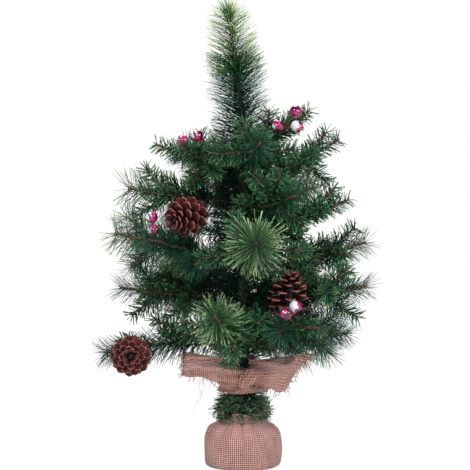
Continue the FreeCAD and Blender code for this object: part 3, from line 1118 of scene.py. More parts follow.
def set_up(piece: bpy.types.Object, body: str, nodes: tuple[str, ...]) -> bpy.types.Object:
    """Fixes a piece to its body and says what it stands for.

    Args:
        piece: the piece, in place.
        body: the body that it moves with.
        nodes: the CAD nodes that it stands for.

    Returns:
        The piece.
    """
    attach(piece, body)
    if nodes:
        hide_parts(*nodes)
    LOG.info("%s: %d faces on %s", piece.name, len(piece.data.polygons), body)
    return piece


@dataclass(frozen=True)
class Pick:
    """A short wire from a stem to an ornament."""

    along: float
    end: tuple[float, float, float]
    axis: tuple[float, float, float] | None = None
    # how much of the berry its white patch, a painted highlight drawn as frosting, covers
    frost_highlight_share: float = 0.5


@dataclass(frozen=True)
class Fork:
    """A short side tip's place on its branch: the stem's corner that it leaves, and where it ends."""

    corner: int
    turn: float
    reach: float
    rise: float


class Tip(Enum):
    """The short side tips.

    Turn and reach are shares of the branch's own. Rise is from the corner, in metres.
    """

    LIFTED = Fork(2, -0.35, 0.90, 0.036)
    HANGING = Fork(2, 0.4, 0.90, -0.027)
    NEAR = Fork(1, -1.6, 0.62, 0.006)
    FAR = Fork(1, 1.7, 0.60, -0.012)
    UNDER = Fork(1, 0.1, 0.62, -0.030)
    TALL = Fork(1, -0.5, 0.50, 0.040)


@dataclass
class Branch:
    """A wired branch with its main tip, side tips and ornaments, in metres."""

    name: str
    root: float
    azimuth: float
    reach: float
    end: float
    spread: float
    main: Needles
    sides: Needles
    tips: tuple[Tip, ...]
    rise: float = -0.014
    picks: tuple[Pick, ...] = ()
    ways: tuple[int, ...] = (1, -1)
    crown: float = 0.3

    def stem(self) -> list[Vector]:
        """The stem's line.

        Returns:
            Its corners, from the wrapped pole outwards.
        """
        start = polar(ROOT_RADIUS, self.azimuth, self.root)
        end = polar(self.reach, self.azimuth, self.end)
        middle = polar(0.5 * self.reach, self.azimuth, self.root + 0.3 * (self.end - self.root))
        shares = (0.0, 0.32, 0.64, 1.0)
        return [start * (1 - t) ** 2 + middle * (2 * t * (1 - t)) + end * t * t for t in shares]

    def twigs(self) -> list[list[Vector]]:
        """The side tips, the raised tip and the short tips.

        Returns:
            Each tip's line, from the stem to its end.
        """
        path = self.stem()
        made = []
        for fork, way, climb in ((1, 1, 0.5), (2, -1, 1.0)):
            if way in self.ways:
                height = self.end + self.rise * climb
                end = polar(self.reach * SIDE_REACH, self.azimuth + way * self.spread, height)
                made.append([path[fork], end])
        if self.crown:
            azimuth = self.azimuth + self.crown * self.spread
            made.append([path[1], polar(self.reach * CROWN_REACH, azimuth, path[1].z + CROWN_RISE)])
        for tip in self.tips:
            fork = tip.value
            azimuth = self.azimuth + fork.turn * self.spread
            end = polar(self.reach * fork.reach, azimuth, path[fork.corner].z + fork.rise)
            made.append([path[fork.corner], end])
        return made

    def point(self, share: float) -> Vector:
        """A point on the stem.

        Args:
            share: how far along its length.

        Returns:
            The point.
        """
        path = self.stem()
        left = share * sum((b - a).length for a, b in zip(path, path[1:]))
        for a, b in zip(path, path[1:]):
            if left <= (b - a).length:
                return a + (b - a).normalized() * left
            left -= (b - a).length
        return path[-1]


@dataclass
class Crop:
    """The makers that all branches share."""

    brush: NeedleBrush
    twist: TwistedWire
    scales: ConeScales
    seeds: int = 0

    def fringe(
        self, name: str, paths: list[list[Vector]], kind: Needles, **changes: float
    ) -> bpy.types.Mesh:
        """Grows one kind of needle round paths.

        Args:
            name: the new mesh's name.
            paths: the wires.
            kind: the kind of needle.
            changes: a factor for each named input that differs, or its value for Shorten and Droop.

        Returns:
            The needles' mesh.
        """
        self.seeds += 7
        cut = kind.value
        values = {
            "Length": cut.length * changes.get("Length", 1.0),
            "Width": cut.width * changes.get("Width", 1.0),
            "Lean": math.radians(cut.lean) * changes.get("Lean", 1.0),
            "Spacing": cut.spacing * changes.get("Spacing", 1.0),
            "Bow": cut.bow,
            "Pointed": cut.pointed,
            "Shorten": changes.get("Shorten", 0.25),
            "Droop": changes.get("Droop", 0.06),
            "Seed": self.seeds,
            "Material": cut.finish.material(),
        }
        return self.brush.grow(name, line_mesh(name, [smooth(path) for path in paths]), values)

    def wires(self, name: str, paths: list[list[Vector]], radius: float) -> bpy.types.Mesh:
        """Twists wires along paths.

        Args:
            name: the new mesh's name.
            paths: the wires.
            radius: the twist's outer radius.

        Returns:
            The wires' mesh.
        """
        values = {"Radius": radius, "Pitch": radius * 5.0, "Material": WireFinish().material()}
        return self.twist.grow(name, line_mesh(name, [smooth(path) for path in paths]), values)


@dataclass(frozen=True)
class ConeShape:
    """A pine cone's sizes, in metres."""

    length: float = 0.048
    scales: int = 50
    scale_length: float = 0.0215
    half_width: float = 0.0068
    opened_low: float = math.radians(104)
    opened_high: float = math.radians(30)

    def core_radius(self, share: float) -> float:
        """The core's radius.

        Args:
            share: how far along the cone's length.

        Returns:
            The radius.
        """
        return 0.0034 + 0.0046 * math.sin(math.pi * min(1.0, share + 0.18)) ** 0.8

    def template(self) -> bpy.types.Object:
        """One scale: thin at its root, rounded and thick at its lip, with a raised boss behind.

        Returns:
            The scale, along +Z, its back towards +X.
        """
        length, half = self.scale_length, self.half_width
        rows = ((0.0, 0.36, 0.0004), (0.40, 0.62, 0.0005), (0.68, 0.92, 0.0008), (0.84, 1.0, 0.0015),
                (0.95, 0.74, 0.0017), (1.0, 0.30, 0.0009))
        columns = (-1.0, -0.55, 0.0, 0.55, 1.0)
        points, reaches, rims = [], [], []
        for side in (1, -1):
            for share, width, thick in rows:
                for column in columns:
                    boss = 1.0 - 0.8 * abs(column)
                    lift = side * thick * (0.35 + boss) * (1.25 if side > 0 else 0.5)
                    curl = 0.0022 * share ** 3 - 0.0012 * column * column * share
                    height = length * (share - 0.06 * column * column)
                    points.append((lift + curl, half * width * column, height))
                    reaches.append(share)
                    rims.append(max(abs(column) ** 3 * share, 1.0 if share > 0.97 else 0.0))
        wide, high = len(columns), len(rows)
        back = wide * high
        faces = []
        for r in range(high - 1):
            for c in range(wide - 1):
                a = r * wide + c
                b = back + a
                faces += [(a, a + 1, a + wide + 1, a + wide), (b + 1, b, b + wide, b + wide + 1)]
        edge = list(range(wide)) + [r * wide + wide - 1 for r in range(1, high)]
        edge += [(high - 1) * wide + c for c in range(wide - 2, -1, -1)]
        edge += [r * wide for r in range(high - 2, 0, -1)]
        faces += [(b, a, a + back, b + back) for a, b in zip(edge, edge[1:] + edge[:1])]
        mesh = shell("cone_scale", points, [], faces)
        for name, values in (("reach", reaches), ("rim", rims)):
            mesh.attributes.new(name, "FLOAT", "POINT").data.foreach_set("value", values)
        carrier = placed("cone_scale", mesh)
        carrier.hide_render = True
        return carrier

    def grow(self, name: str, crop: Crop, centre: Vector, way: Vector) -> bpy.types.Mesh:
        """A whole cone.

        Args:
            name: the mesh's name.
            crop: the shared makers.
            centre: its middle.
            way: towards its tip.

        Returns:
            The cone's mesh.
        """
        axis = way.normalized()
        side = axis.orthogonal().normalized()
        other = axis.cross(side)
        foot = centre - axis * (self.length / 2)
        places, headings, backs, sizes = [], [], [], []
        for k in range(self.scales):
            share = (k + 0.5) / self.scales
            turn = k * GOLDEN_ANGLE
            radial = side * math.cos(turn) + other * math.sin(turn)
            opened = self.opened_low + (self.opened_high - self.opened_low) * share ** 0.9
            along = foot + axis * (self.length * share * 0.97)
            places.append(along + radial * self.core_radius(share) * 0.7)
            headings.append(axis * math.cos(opened) + radial * math.sin(opened))
            backs.append(radial * math.cos(opened) - axis * math.sin(opened))
            sizes.append(0.50 + 0.46 * math.sin(math.pi * min(1.0, share * 0.92 + 0.14)))
        base = shell(name, places, [], [])
        for key, vectors in (("heading", headings), ("back", backs)):
            flat = [number for vector in vectors for number in vector]
            base.attributes.new(key, "FLOAT_VECTOR", "POINT").data.foreach_set("vector", flat)
        base.attributes.new("size", "FLOAT", "POINT").data.foreach_set("value", sizes)
        crop.seeds += 7
        scales = crop.scales.grow(name, base, {"Seed": crop.seeds, "Material": ConeFinish().material()})
        rings = [(self.core_radius(t), self.length * t) for t in np.linspace(0.0, 1.0, 9)]
        core = lathe(name + "_core", [(0.0, 0.0), *rings, (0.0, self.length)], 20)
        # the core carries no reach, so it takes the root's painted shade
        core.materials.append(ConeFinish().material())
        turned = Matrix((side, other, axis)).transposed().to_4x4()
        core.transform(Matrix.Translation(foot) @ turned)
        whole = joined(name, [scales, core])
        mesh = whole.data
        bpy.data.objects.remove(whole)
        return mesh


def lathe(name: str, profile: list[tuple[float, float]], steps: int) -> bpy.types.Mesh:
    """A turned shape.

    Args:
        name: the mesh's name.
        profile: radius and height of each ring.
        steps: how many sides.

    Returns:
        The mesh.
    """
    angles = [math.tau * k / steps for k in range(steps)]
    points = [polar(radius, angle, height) for radius, height in profile for angle in angles]
    faces = []
    for ring in range(len(profile) - 1):
        for k in range(steps):
            a, b = ring * steps + k, ring * steps + (k + 1) % steps
            faces.append((a, b, b + steps, a + steps))
    mesh = shell(name, points, [], faces)
    work = bmesh.new()
    work.from_mesh(mesh)
    bmesh.ops.remove_doubles(work, verts=work.verts, dist=1e-7)
    bmesh.ops.recalc_face_normals(work, faces=work.faces)
    work.to_mesh(mesh)
    work.free()
    return mesh


@dataclass(frozen=True)
class BerryShape:
    """A lacquered berry with a puckered crown, in metres."""

    radius: float = 0.0077
    rings: int = 22
    sides: int = 28

    def grow(
        self, name: str, centre: Vector, way: Vector, frost_highlight_share: float, lean: Vector
    ) -> bpy.types.Mesh:
        """One berry.

        Args:
            name: the mesh's name.
            centre: its middle.
            way: from its wire to its crown.
            frost_highlight_share: how much of it the white patch, a painted highlight, covers, from 0 to 1.
            lean: the side that the painted highlight is on.

        Returns:
            The berry's mesh.
        """
        profile = []
        for k in range(self.rings + 1):
            polar_angle = math.pi * k / self.rings
            crown = 0.16 * math.exp(-((polar_angle - math.pi) / 0.30) ** 2)
            root = 0.10 * math.exp(-(polar_angle / 0.25) ** 2)
            radius = self.radius * (1.0 - (crown + root))
            profile.append((max(0.0, radius * math.sin(polar_angle)), -radius * math.cos(polar_angle)))
        mesh = lathe(name, profile, self.sides)
        axis = way.normalized()
        side = axis.orthogonal().normalized()
        for vertex in mesh.vertices:
            place = vertex.co
            angle = math.atan2(place.y, place.x)
            ripple = 0.012 * math.sin(5 * angle - place.z * 700)
            place *= 1.0 + 0.018 * math.sin(3 * angle + place.z * 400) + ripple
        mesh.transform(Matrix((side, axis.cross(side), axis)).transposed().to_4x4())
        toward = lean.normalized()
        # painted highlight: the white patch covers the berry on the side towards lean
        frost = []
        for vertex in mesh.vertices:
            place = vertex.co
            wave = 0.18 * math.sin(place.x * 900 + place.z * 500) + 0.12 * math.sin(place.y * 1300)
            frost.append(0.5 + 0.9 * (place.normalized().dot(toward) + wave - 1.0 + 2 * frost_highlight_share))
        mesh.attributes.new("frost", "FLOAT", "POINT").data.foreach_set("value", frost)
        mesh.materials.append(BerryFinish().material())
        mesh.transform(Matrix.Translation(centre))
        return mesh


@dataclass
class Boughs:
    """All the wired branches."""

    crop: Crop
    cones: ConeShape = field(default_factory=ConeShape)
    berries: BerryShape = field(default_factory=BerryShape)

    def dress(self, branch: Branch) -> None:
        """Grows one branch: wires, needles, cones and berries.

        Args:
            branch: the branch.
        """
        self.wire(branch)
        self.needles(branch)
        self.ornaments(branch)

    def wire(self, branch: Branch) -> None:
        """Twists the stem, its side tips and the wires of its ornaments.

        Args:
            branch: the branch.
        """
        name = branch.name
        stem = self.crop.wires(name + "_stem", [branch.stem()], STEM_WIRE)
        twigs = self.crop.wires(name + "_twigs", branch.twigs(), TIP_WIRE)
        made = [stem, twigs]
        routes = [self.route(branch, pick) for pick in branch.picks]
        if routes:
            made.append(self.crop.wires(name + "_picks", routes, PICK_WIRE))
        set_up(joined(name + "_twist", made), name, (name + "_wire",))

    def route(self, branch: Branch, pick: Pick) -> list[Vector]:
        """The line from the stem to an ornament's foot.

        Args:
            branch: the branch.
            pick: the ornament's wire.

        Returns:
            The line.
        """
        start, centre = branch.point(pick.along), Vector(pick.end)
        if pick.axis:
            axis = Vector(pick.axis).normalized()
            foot = centre - axis * (self.cones.length / 2)
            return [start, foot - axis * 0.007, foot]
        return [start, centre - (centre - start).normalized() * 0.0066]

    def needles(self, branch: Branch) -> None:
        """Grows the fringes on the stem and on every tip.

        Low branches have drooping needles. The lowest on the left is denser, to show behind its
        cone, and the one that faces the viewer ends in a wide tuft.

        Args:
            branch: the branch.
        """
        name, main = branch.name, branch.main
        path = branch.stem()
        droop = 0.16 if branch.end < LOW_BRANCH else 0.06
        spacing = 0.62 if name == "bottom_left" else 1.0
        made = [
            self.crop.fringe(name + "_main", [path[1:]], main, Droop=droop, Spacing=spacing),
            # the inner fringe uses the darker needles: painted shade near the pole
            self.crop.fringe(name + "_inner", [path[:2]], Needles.INNER, Shorten=0.0, Droop=0.12),
        ]
        if name == "mid_front":
            tuft = [path[-2].lerp(path[-1], 0.72), path[-1]]
            made.append(self.crop.fringe(
                name + "_tuft", [tuft], main, Shorten=0.0, Lean=1.2, Length=1.02, Spacing=0.8))
        tips = [[tip[0].lerp(tip[1], 0.12), tip[1]] for tip in branch.twigs()]
        if tips:
            made.append(self.crop.fringe(name + "_sides", tips, branch.sides))
        set_up(joined(name + "_brush", made), name, (name + "_needles",))

    def ornaments(self, branch: Branch) -> None:
        """Grows the cones and berries of a branch.

        Args:
            branch: the branch.
        """
        cones, berries = [], []
        for k, pick in enumerate(branch.picks):
            name = f"{branch.name}_{k}"
            centre = Vector(pick.end)
            if pick.axis:
                cones.append(self.cones.grow(name, self.crop, centre, Vector(pick.axis)))
            else:
                way = centre - branch.point(pick.along)
                # lean points to the front left and up, towards the key lamp: the painted highlight's side
                lean = Vector((-0.8, -0.8, 0.7 - 0.4 * k))
                berries.append(self.berries.grow(name, centre, way, pick.frost_highlight_share, lean))
        if cones:
            piece = joined(branch.name + "_pine_cone", cones)
            set_up(piece, branch.name, (branch.name + "_cone",))
        if berries:
            piece = joined(branch.name + "_berry_group", berries)
            set_up(piece, branch.name, (branch.name + "_berries",))


@dataclass
class Leader:
    """The top tip, leaning to the left, in metres."""

    crop: Crop
    foot: float = 0.430
    lean: float = 0.018
    top: float = 0.581
    radius: float = 0.0022

    def dress(self) -> None:
        """Grows the top tip."""
        low, high = Vector((0, 0, self.foot + 0.008)), Vector((-self.lean, 0, self.top))
        wire = self.crop.wires("leader_twist", [[Vector((0, 0, self.foot)), low, high]], self.radius)
        set_up(joined("leader_twist", [wire]), "trunk", ("leader_wire",))
        top = [low.lerp(high, 0.42), high]
        bottom = [low, low.lerp(high, 0.58)]
        tuft = [low.lerp(high, 0.9), high]
        made = [
            self.crop.fringe("leader_top", [top], Needles.LEADER, Shorten=0.35, Droop=0.0),
            self.crop.fringe("leader_low", [bottom], Needles.FINE, Length=1.32, Lean=1.2,
                             Spacing=0.35, Shorten=0.0, Droop=0.0),
            self.crop.fringe("leader_tuft", [tuft], Needles.LEADER, Length=0.62, Lean=0.4,
                             Shorten=0.0, Droop=0.0),
        ]
        set_up(joined("leader_brush", made), "trunk", ("leader_needles",))


@dataclass
class Trunk:
    """Pole, wrap and the short garland, in metres."""

    crop: Crop
    frame: dict
    neck: float = 0.062
    ribbon: float = 0.095
    wrap_low: float = 0.128
    wrap_high: float = 0.424
    wrap_radius: float = 0.008

    def dress(self) -> None:
        """Finishes the pole and grows the garland."""
        pole = self.frame["nodes"]["trunk_pole"]
        pole.data.materials.clear()
        pole.data.materials.append(PaintFinish().material())
        self.wrap()
        marks = (self.neck, self.ribbon, self.wrap_low, self.wrap_high + 0.014)
        neck, ribbon, low, high = (Vector((0, 0, height)) for height in marks)
        hoops = [self.hoop(0.026, 0.079), self.hoop(0.031, 0.070)]
        made = [
            self.crop.fringe("tinsel_low", [[neck, ribbon]], Needles.TINSEL, Shorten=0.0,
                             Spacing=0.12, Length=1.2, Droop=0.30),
            self.crop.fringe("tinsel_high", [[ribbon, low]], Needles.TINSEL, Shorten=0.0,
                             Spacing=0.3, Length=0.75),
            self.crop.fringe("tinsel_skirt", hoops, Needles.TINSEL, Shorten=0.0,
                             Spacing=1.25, Length=0.50, Lean=0.65, Droop=0.2),
            # the needles inside the garland are the darker kind: painted shade
            self.crop.fringe("tinsel_inside", [[low, high]], Needles.INNER, Shorten=0.0,
                             Spacing=0.42, Length=1.4, Lean=1.1),
        ]
        set_up(joined("tinsel_brush", made), "trunk", ("trunk_tinsel",))

    @staticmethod
    def hoop(radius: float, height: float) -> list[Vector]:
        """A wavy ring round the trunk.

        Args:
            radius: its radius.
            height: its height.

        Returns:
            The ring's points.
        """
        angles = np.linspace(0.0, math.tau, 33)
        return [
            polar(radius + 0.002 * math.sin(5 * a), a, height + 0.003 * math.sin(3 * a)) for a in angles
        ]

    def wrap(self) -> None:
        """Winds tape round the pole in overlapping turns."""
        pitch = TapeFinish().pitch
        count = int((self.wrap_high - self.wrap_low) / pitch * 4)
        profile = [(self.wrap_radius * 0.5, self.wrap_low)]
        for k in range(count + 1):
            height = self.wrap_low + (self.wrap_high - self.wrap_low) * k / count
            profile.append((self.wrap_radius - 0.0005 * (k % 4) / 3, height))
        profile.append((self.wrap_radius * 0.5, self.wrap_high))
        mesh = lathe("wrap_turns", profile, 28)
        mesh.materials.append(TapeFinish().material())
        set_up(joined("wrap_turns", [mesh]), "trunk", ("branch_wrap",))


def grid_faces(rows: int, columns: int, closed: bool) -> list[tuple[int, ...]]:
    """Quads over a grid of points, row by row.

    Args:
        rows: how many rows.
        columns: how many points in a row.
        closed: whether each row joins its own start.

    Returns:
        The quads.
    """
    last = columns if closed else columns - 1
    faces = []
    for row in range(0, (rows - 1) * columns, columns):
        for c in range(last):
            after = (c + 1) % columns
            faces.append((row + c, row + after, row + columns + after, row + columns + c))
    return faces


def cloth_mesh(name: str, points: np.ndarray, flat: np.ndarray, closed: bool) -> bpy.types.Mesh:
    """A cloth surface over a grid, with a UV map that gives its flat place in metres.

    Args:
        name: the mesh's name.
        points: rows of columns of places.
        flat: the flat place of every point. A closed row has one more column than points has.
        closed: whether each row joins its own start.

    Returns:
        The mesh.
    """
    rows, columns = points.shape[:2]
    mesh = shell(name, points.reshape(-1, 3).tolist(), [], grid_faces(rows, columns, closed))
    layer = mesh.uv_layers.new(name="cloth")
    corner = 0
    last = columns if closed else columns - 1
    for r in range(rows - 1):
        for c in range(last):
            for row, column in ((r, c), (r, c + 1), (r + 1, c + 1), (r + 1, c)):
                layer.data[corner].uv = flat[row, column]
                corner += 1
    return mesh


def thicken(piece: bpy.types.Object, thickness: float) -> None:
    """Gives a cloth piece its thickness.

    Args:
        piece: the piece.
        thickness: in metres.
    """
    modifier = piece.modifiers.new("cloth", "SOLIDIFY")
    modifier.thickness = thickness
    modifier.offset = 0.0


@dataclass
class Sack:
    """The gathered burlap sack with its pot, weight and tie, in metres."""

    crop: Crop
    pleats: int = 13
    thickness: float = 0.0009
    radius: float = 0.0495
    neck: float = 0.064
    levels: tuple[tuple[float, float, float], ...] = (
        (0.0006, 0.001, 0.0), (0.0006, 0.020, 0.0002), (0.0006, 0.040, 0.0004),
        (0.0012, 0.0450, 0.0004), (0.0042, 0.0480, 0.0004), (0.0120, 0.0492, 0.0005),
        (0.0240, 0.0494, 0.0008), (0.0360, 0.0486, 0.0012), (0.0440, 0.0464, 0.0022),
        (0.0510, 0.0410, 0.0030), (0.0560, 0.0320, 0.0026), (0.0600, 0.0285, 0.0018),
        (0.0640, 0.0288, 0.0018), (0.0675, 0.0300, 0.0022), (0.0700, 0.0312, 0.0026),
    )

    def surface(self) -> bpy.types.Mesh:
        """The pleated cloth, from under the base up to its ruffle.

        Each level gives a height, a radius and how deep the pleats are there.

        Returns:
            The cloth's mesh.
        """
        columns = 260
        rows = smooth([Vector(level) for level in self.levels], 0.0016)
        points = np.zeros((len(rows), columns, 3))
        flat = np.zeros((len(rows), columns + 1, 2))
        along, before = 0.0, rows[0]
        for r, level in enumerate(rows):
            along += (Vector(level[:2]) - Vector(before[:2])).length
            before = level
            height, radius, pleat = level
            for c in range(columns + 1):
                angle = math.tau * c / columns
                fold = math.cos(self.pleats * angle + 0.9 * math.sin(2 * angle + 1.0))
                fold = 0.75 * fold + 0.25 * math.cos(2.3 * self.pleats * angle + 2.0 * math.sin(3 * angle))
                sag = 0.0006 * math.sin(5 * angle + height * 90) * min(1.0, height / 0.02)
                out = radius + pleat * fold + sag
                lift = 0.0012 * math.sin(7 * angle + 1.3) * max(0.0, (height - self.neck) / 0.007)
                if c < columns:
                    points[r, c] = polar(max(out, 0.0005), angle, max(height + lift, 0.0006))
                flat[r, c] = (angle * self.radius, along)
        return cloth_mesh("sack_cloth", points, flat, True)

    def dress(self) -> None:
        """Makes the sack, what stands in it and its tie."""
        mesh = self.surface()
        mesh.materials.append(BurlapFinish().material())
        cloth = joined("sack_cloth", [mesh])
        thicken(cloth, self.thickness)
        set_up(cloth, "trunk", ("burlap_sack",))
        self.tie()
        self.base()

    def tie(self) -> None:
        """The twine round the neck."""
        ring = [
            polar(0.0313 + 0.0005 * math.cos(self.pleats * a), a, 0.0605 + 0.0006 * math.sin(2 * a))
            for a in np.linspace(0.0, math.tau, 121)
        ]
        twine = self.crop.wires("neck_twine", [ring], 0.0012)
        twine.materials.clear()
        twine.materials.append(TwineFinish().material())
        set_up(joined("neck_twine", [twine]), "trunk", ("sack_tie",))

    @staticmethod
    def base() -> None:
        """The moulded pot and the cast weight in it."""
        low, wall, top, radius = 0.0012, 0.0015, 0.0452, 0.043
        inner, rim, hole = radius - wall, radius + 0.0006, 0.0041
        pot = lathe("pot_shell", [
            (0.0, low), (radius - 0.002, low), (radius, low + 0.002), (radius, top - 0.004),
            (rim, top - 0.003), (rim, top), (inner, top), (inner, low + wall), (0.0, low + wall),
        ], 96)
        pot.materials.append(PotFinish().material())
        set_up(joined("pot_shell", [pot]), "trunk", ("base_pot",))
        cast = lathe("weight_cast", [
            (0.0, low + wall), (inner, low + wall), (inner, 0.0388), (inner - 0.0006, 0.0398),
            (0.030, 0.0402), (0.014, 0.0398), (0.006, 0.0404), (hole, 0.0400), (hole, 0.009), (0.0, 0.009),
        ], 96)
        cast.materials.append(CastFinish().material())
        set_up(joined("weight_cast", [cast]), "trunk", ("base_weight",))


class Threads(NodeGroup):
    """Loose threads: thin tubes along lines, tapering at their ends."""

    def __init__(self) -> None:
        """Builds the tree."""
        super().__init__("loose_threads")
        ring = self.ring(4, self.entry("Radius"))
        along = self.bench.add("GeometryNodeSplineParameter").out("Factor")
        self.finish(self.tube(self.curve(), ring, 1.0 - 0.45 * along * along))


@dataclass
class Sash:
    """The burlap ribbon tied round the trunk, in metres."""

    crop: Crop
    thickness: float = 0.0009
    band_low: float = 0.097
    band_high: float = 0.118
    knot: tuple[float, float, float] = (0.006, -0.0450, 0.119)
    left: tuple[tuple[tuple[float, float, float], ...], ...] = (
        ((4, -37, 129), (4, -45, 121), (4, -38, 110)),
        ((-22, -38, 140), (-20, -49, 127), (-22, -39, 112)),
        ((-50, -35, 148), (-48, -45, 133), (-50, -36, 117)),
        ((-76, -30, 148), (-76, -38, 135), (-76, -31, 121)),
    )
    right: tuple[tuple[tuple[float, float, float], ...], ...] = (
        ((8, -37, 142), (8, -45, 127), (8, -38, 112)),
        ((32, -40, 143), (30, -49, 125), (30, -42, 106)),
        ((62, -39, 147), (52, -48, 127), (42, -42, 102)),
        ((90, -34, 149), (70, -42, 130), (54, -38, 101)),
    )

    def tail(
        self, name: str, sections: tuple[tuple[tuple[float, float, float], ...], ...], seed: float
    ) -> tuple[bpy.types.Mesh, np.ndarray]:
        """One folded tail, smooth between its sections, with soft creases.

        Args:
            name: the mesh's name.
            sections: rows of points across the tail, in millimetres.
            seed: tells its creases from the other tail's.

        Returns:
            The mesh and its grid of points.
        """
        rows = [smooth([Vector(point) * MM for point in row], 0.0016) for row in sections]
        wide = min(len(row) for row in rows)
        rows = [self.resample(row, wide) for row in rows]
        long = 56
        columns = [self.resample(smooth([row[c] for row in rows], 0.001), long) for c in range(wide)]
        points = np.array([[columns[c][r] for c in range(wide)] for r in range(long)])
        flat = np.zeros((long, wide, 2))
        for r in range(long):
            for c in range(wide):
                share, over = r / (long - 1), c / (wide - 1)
                ridge = 1.0 - 2.0 * abs(math.sin(5.5 * over - 3.2 * share + seed))
                wave = 0.0046 * ridge + 0.0018 * math.sin(17 * over - 7 * share + 2 * seed)
                points[r, c, 1] += wave * (1.0 - 0.3 * share)
                points[r, c, 2] += 0.0016 * math.sin(15 * share + 3 * over + seed) * share
                flat[r, c] = (0.085 * share, 0.036 * over)
        return cloth_mesh(name, points, flat, False), points

    @staticmethod
    def resample(path: list[Vector], count: int) -> list[Vector]:
        """A path with a set number of even points.

        Args:
            path: the path.
            count: how many points.

        Returns:
            The new path.
        """
        lengths = np.concatenate([[0.0], np.cumsum([(b - a).length for a, b in zip(path, path[1:])])])
        wanted = np.linspace(0.0, lengths[-1], count)
        numbers = np.array([list(point) for point in path])
        columns = [np.interp(wanted, lengths, numbers[:, axis]) for axis in range(3)]
        return [Vector(place) for place in zip(*columns)]

    def band(self) -> bpy.types.Mesh:
        """The gathered band round the trunk.

        Returns:
            Its mesh.
        """
        rows, columns = 22, 220
        points, flat = np.zeros((rows, columns, 3)), np.zeros((rows, columns + 1, 2))
        for r in range(rows):
            share = r / (rows - 1)
            height = self.band_low + (self.band_high - self.band_low) * share
            for c in range(columns + 1):
                angle = math.tau * c / columns
                drift = 1.8 * math.sin(2 * angle + 0.7)
                crease = math.sin(share * 11 + drift + 0.9 * math.sin(5 * angle))
                slope = 0.030 + 0.004 * share
                radius = slope + 0.0018 * crease + 0.0006 * math.sin(11 * angle + 4 * share)
                side = 1 if share > 0.5 else -1
                lift = 0.0010 * math.sin(3 * angle + 0.5) * side * abs(2 * share - 1)
                if c < columns:
                    points[r, c] = polar(radius, angle, height + lift)
                flat[r, c] = (angle * 0.032, 0.034 * share)
        return cloth_mesh("sash_band", points, flat, True)

    def wrap(self) -> bpy.types.Mesh:
        """The knot: cloth drawn over and tucked in, with folds that run round it.

        Returns:
            Its mesh.
        """
        rows, columns = 40, 60
        centre = Vector(self.knot)
        points, flat = np.zeros((rows, columns, 3)), np.zeros((rows, columns + 1, 2))
        for r in range(rows):
            share = r / (rows - 1)
            latitude = math.pi * (share - 0.5)
            for c in range(columns + 1):
                angle = math.tau * c / columns
                fold = 1.0 + 0.15 * math.sin(3 * angle + 5 * share + 0.4) * math.cos(latitude)
                fold += 0.09 * math.sin(7 * angle - 9 * share)
                swell = max(0.02, math.cos(latitude)) ** 0.55 * fold
                across = 0.0096 * math.cos(angle) * swell + 0.0045 * math.sin(latitude * 1.3)
                out = Vector((across, 0.0078 * math.sin(angle) * swell, 0.0125 * math.sin(latitude)))
                if c < columns:
                    points[r, c] = centre + out
                flat[r, c] = (angle * 0.009, 0.030 * share)
        return cloth_mesh("sash_knot", points, flat, True)

    def frays(self, points: np.ndarray, seed: int, length: float) -> list[list[Vector]]:
        """Threads that stick out of a tail's end and lower edge.

        Args:
            points: the tail's grid.
            seed: tells one tail's threads from another's.
            length: the longest thread.

        Returns:
            The threads' paths.
        """
        chance = np.random.default_rng(seed)
        made = []
        rows, wide = points.shape[:2]
        starts = [(rows - 1, c, 0) for c in np.linspace(0, wide - 1, 34).astype(int)]
        starts += [(int(r), wide - 1, 1) for r in chance.integers(10, rows - 1, 26)]
        for row, column, edge in starts:
            foot = Vector(points[row, column])
            if edge:
                way = foot - Vector(points[row, column - 1])
            else:
                way = foot - Vector(points[row - 1, column])
            way = way.normalized() + Vector(chance.normal(0.0, 0.28, 3))
            reach = length * chance.uniform(0.25, 1.0) * (0.7 if edge else 1.0)
            path = [foot - way.normalized() * 0.0012]
            for k in range(1, 5):
                sway = Vector(chance.normal(0.0, 0.0006, 3)) * k
                path.append(foot + way.normalized() * reach * k / 4 + sway - UP * 0.0004 * k * k)
            made.append(path)
        return made

    def loose(self) -> list[list[Vector]]:
        """The long threads that hang from the left tail, and a small loop at the right.

        Returns:
            The threads' paths.
        """
        hanging = [
            [(-50, -38, 118), (-56, -40, 108), (-52, -42, 96), (-60, -41, 84), (-64, -40, 72)],
            [(-46, -38, 117), (-49, -41, 104), (-57, -42, 93), (-55, -41, 82)],
            [(48, -42, 104), (56, -45, 101), (60, -44, 107), (55, -43, 111), (49, -42, 107)],
        ]
        return [smooth([Vector(point) * MM for point in path], 0.003) for path in hanging]

    def dress(self) -> None:
        """Makes the ribbon and its frayed threads."""
        left, left_points = self.tail("sash_left", self.left, 0.4)
        right, right_points = self.tail("sash_right", self.right, 2.1)
        meshes = [left, right, self.band(), self.wrap()]
        # the ribbon's dark and light colours: painted shade where its threads sink, lit crests
        weave = BurlapFinish("ribbon_weave", 0.0027, 0.33, (0.080, 0.022, 0.016), (1.0, 0.50, 0.41))
        for mesh in meshes:
            mesh.materials.append(weave.material())
        ribbon = joined("sash_ribbon", meshes)
        thicken(ribbon, self.thickness)
        set_up(ribbon, "trunk", ("burlap_sash",))
        paths = self.frays(left_points, 3, 0.005) + self.frays(right_points, 5, 0.007) + self.loose()
        values = {"Radius": 0.00032, "Material": TwineFinish().material()}
        threads = Threads().grow("sash_threads", line_mesh("sash_threads", paths), values)
        frayed = joined("sash_threads", [threads])
        set_up(frayed, "trunk", ())


def facing(place: tuple[float, float, float], target: tuple[float, float, float]) -> Euler:
    """The turn of a camera or lamp that looks from one place to another.

    Args:
        place: where it stands.
        target: what it looks at.

    Returns:
        The turn.
    """
    return (Vector(target) - Vector(place)).to_track_quat("-Z", "Y").to_euler()


@dataclass(frozen=True)
class Lamp:
    """A soft area light, in metres and watts."""

    place: tuple[float, float, float]
    size: float
    power: float


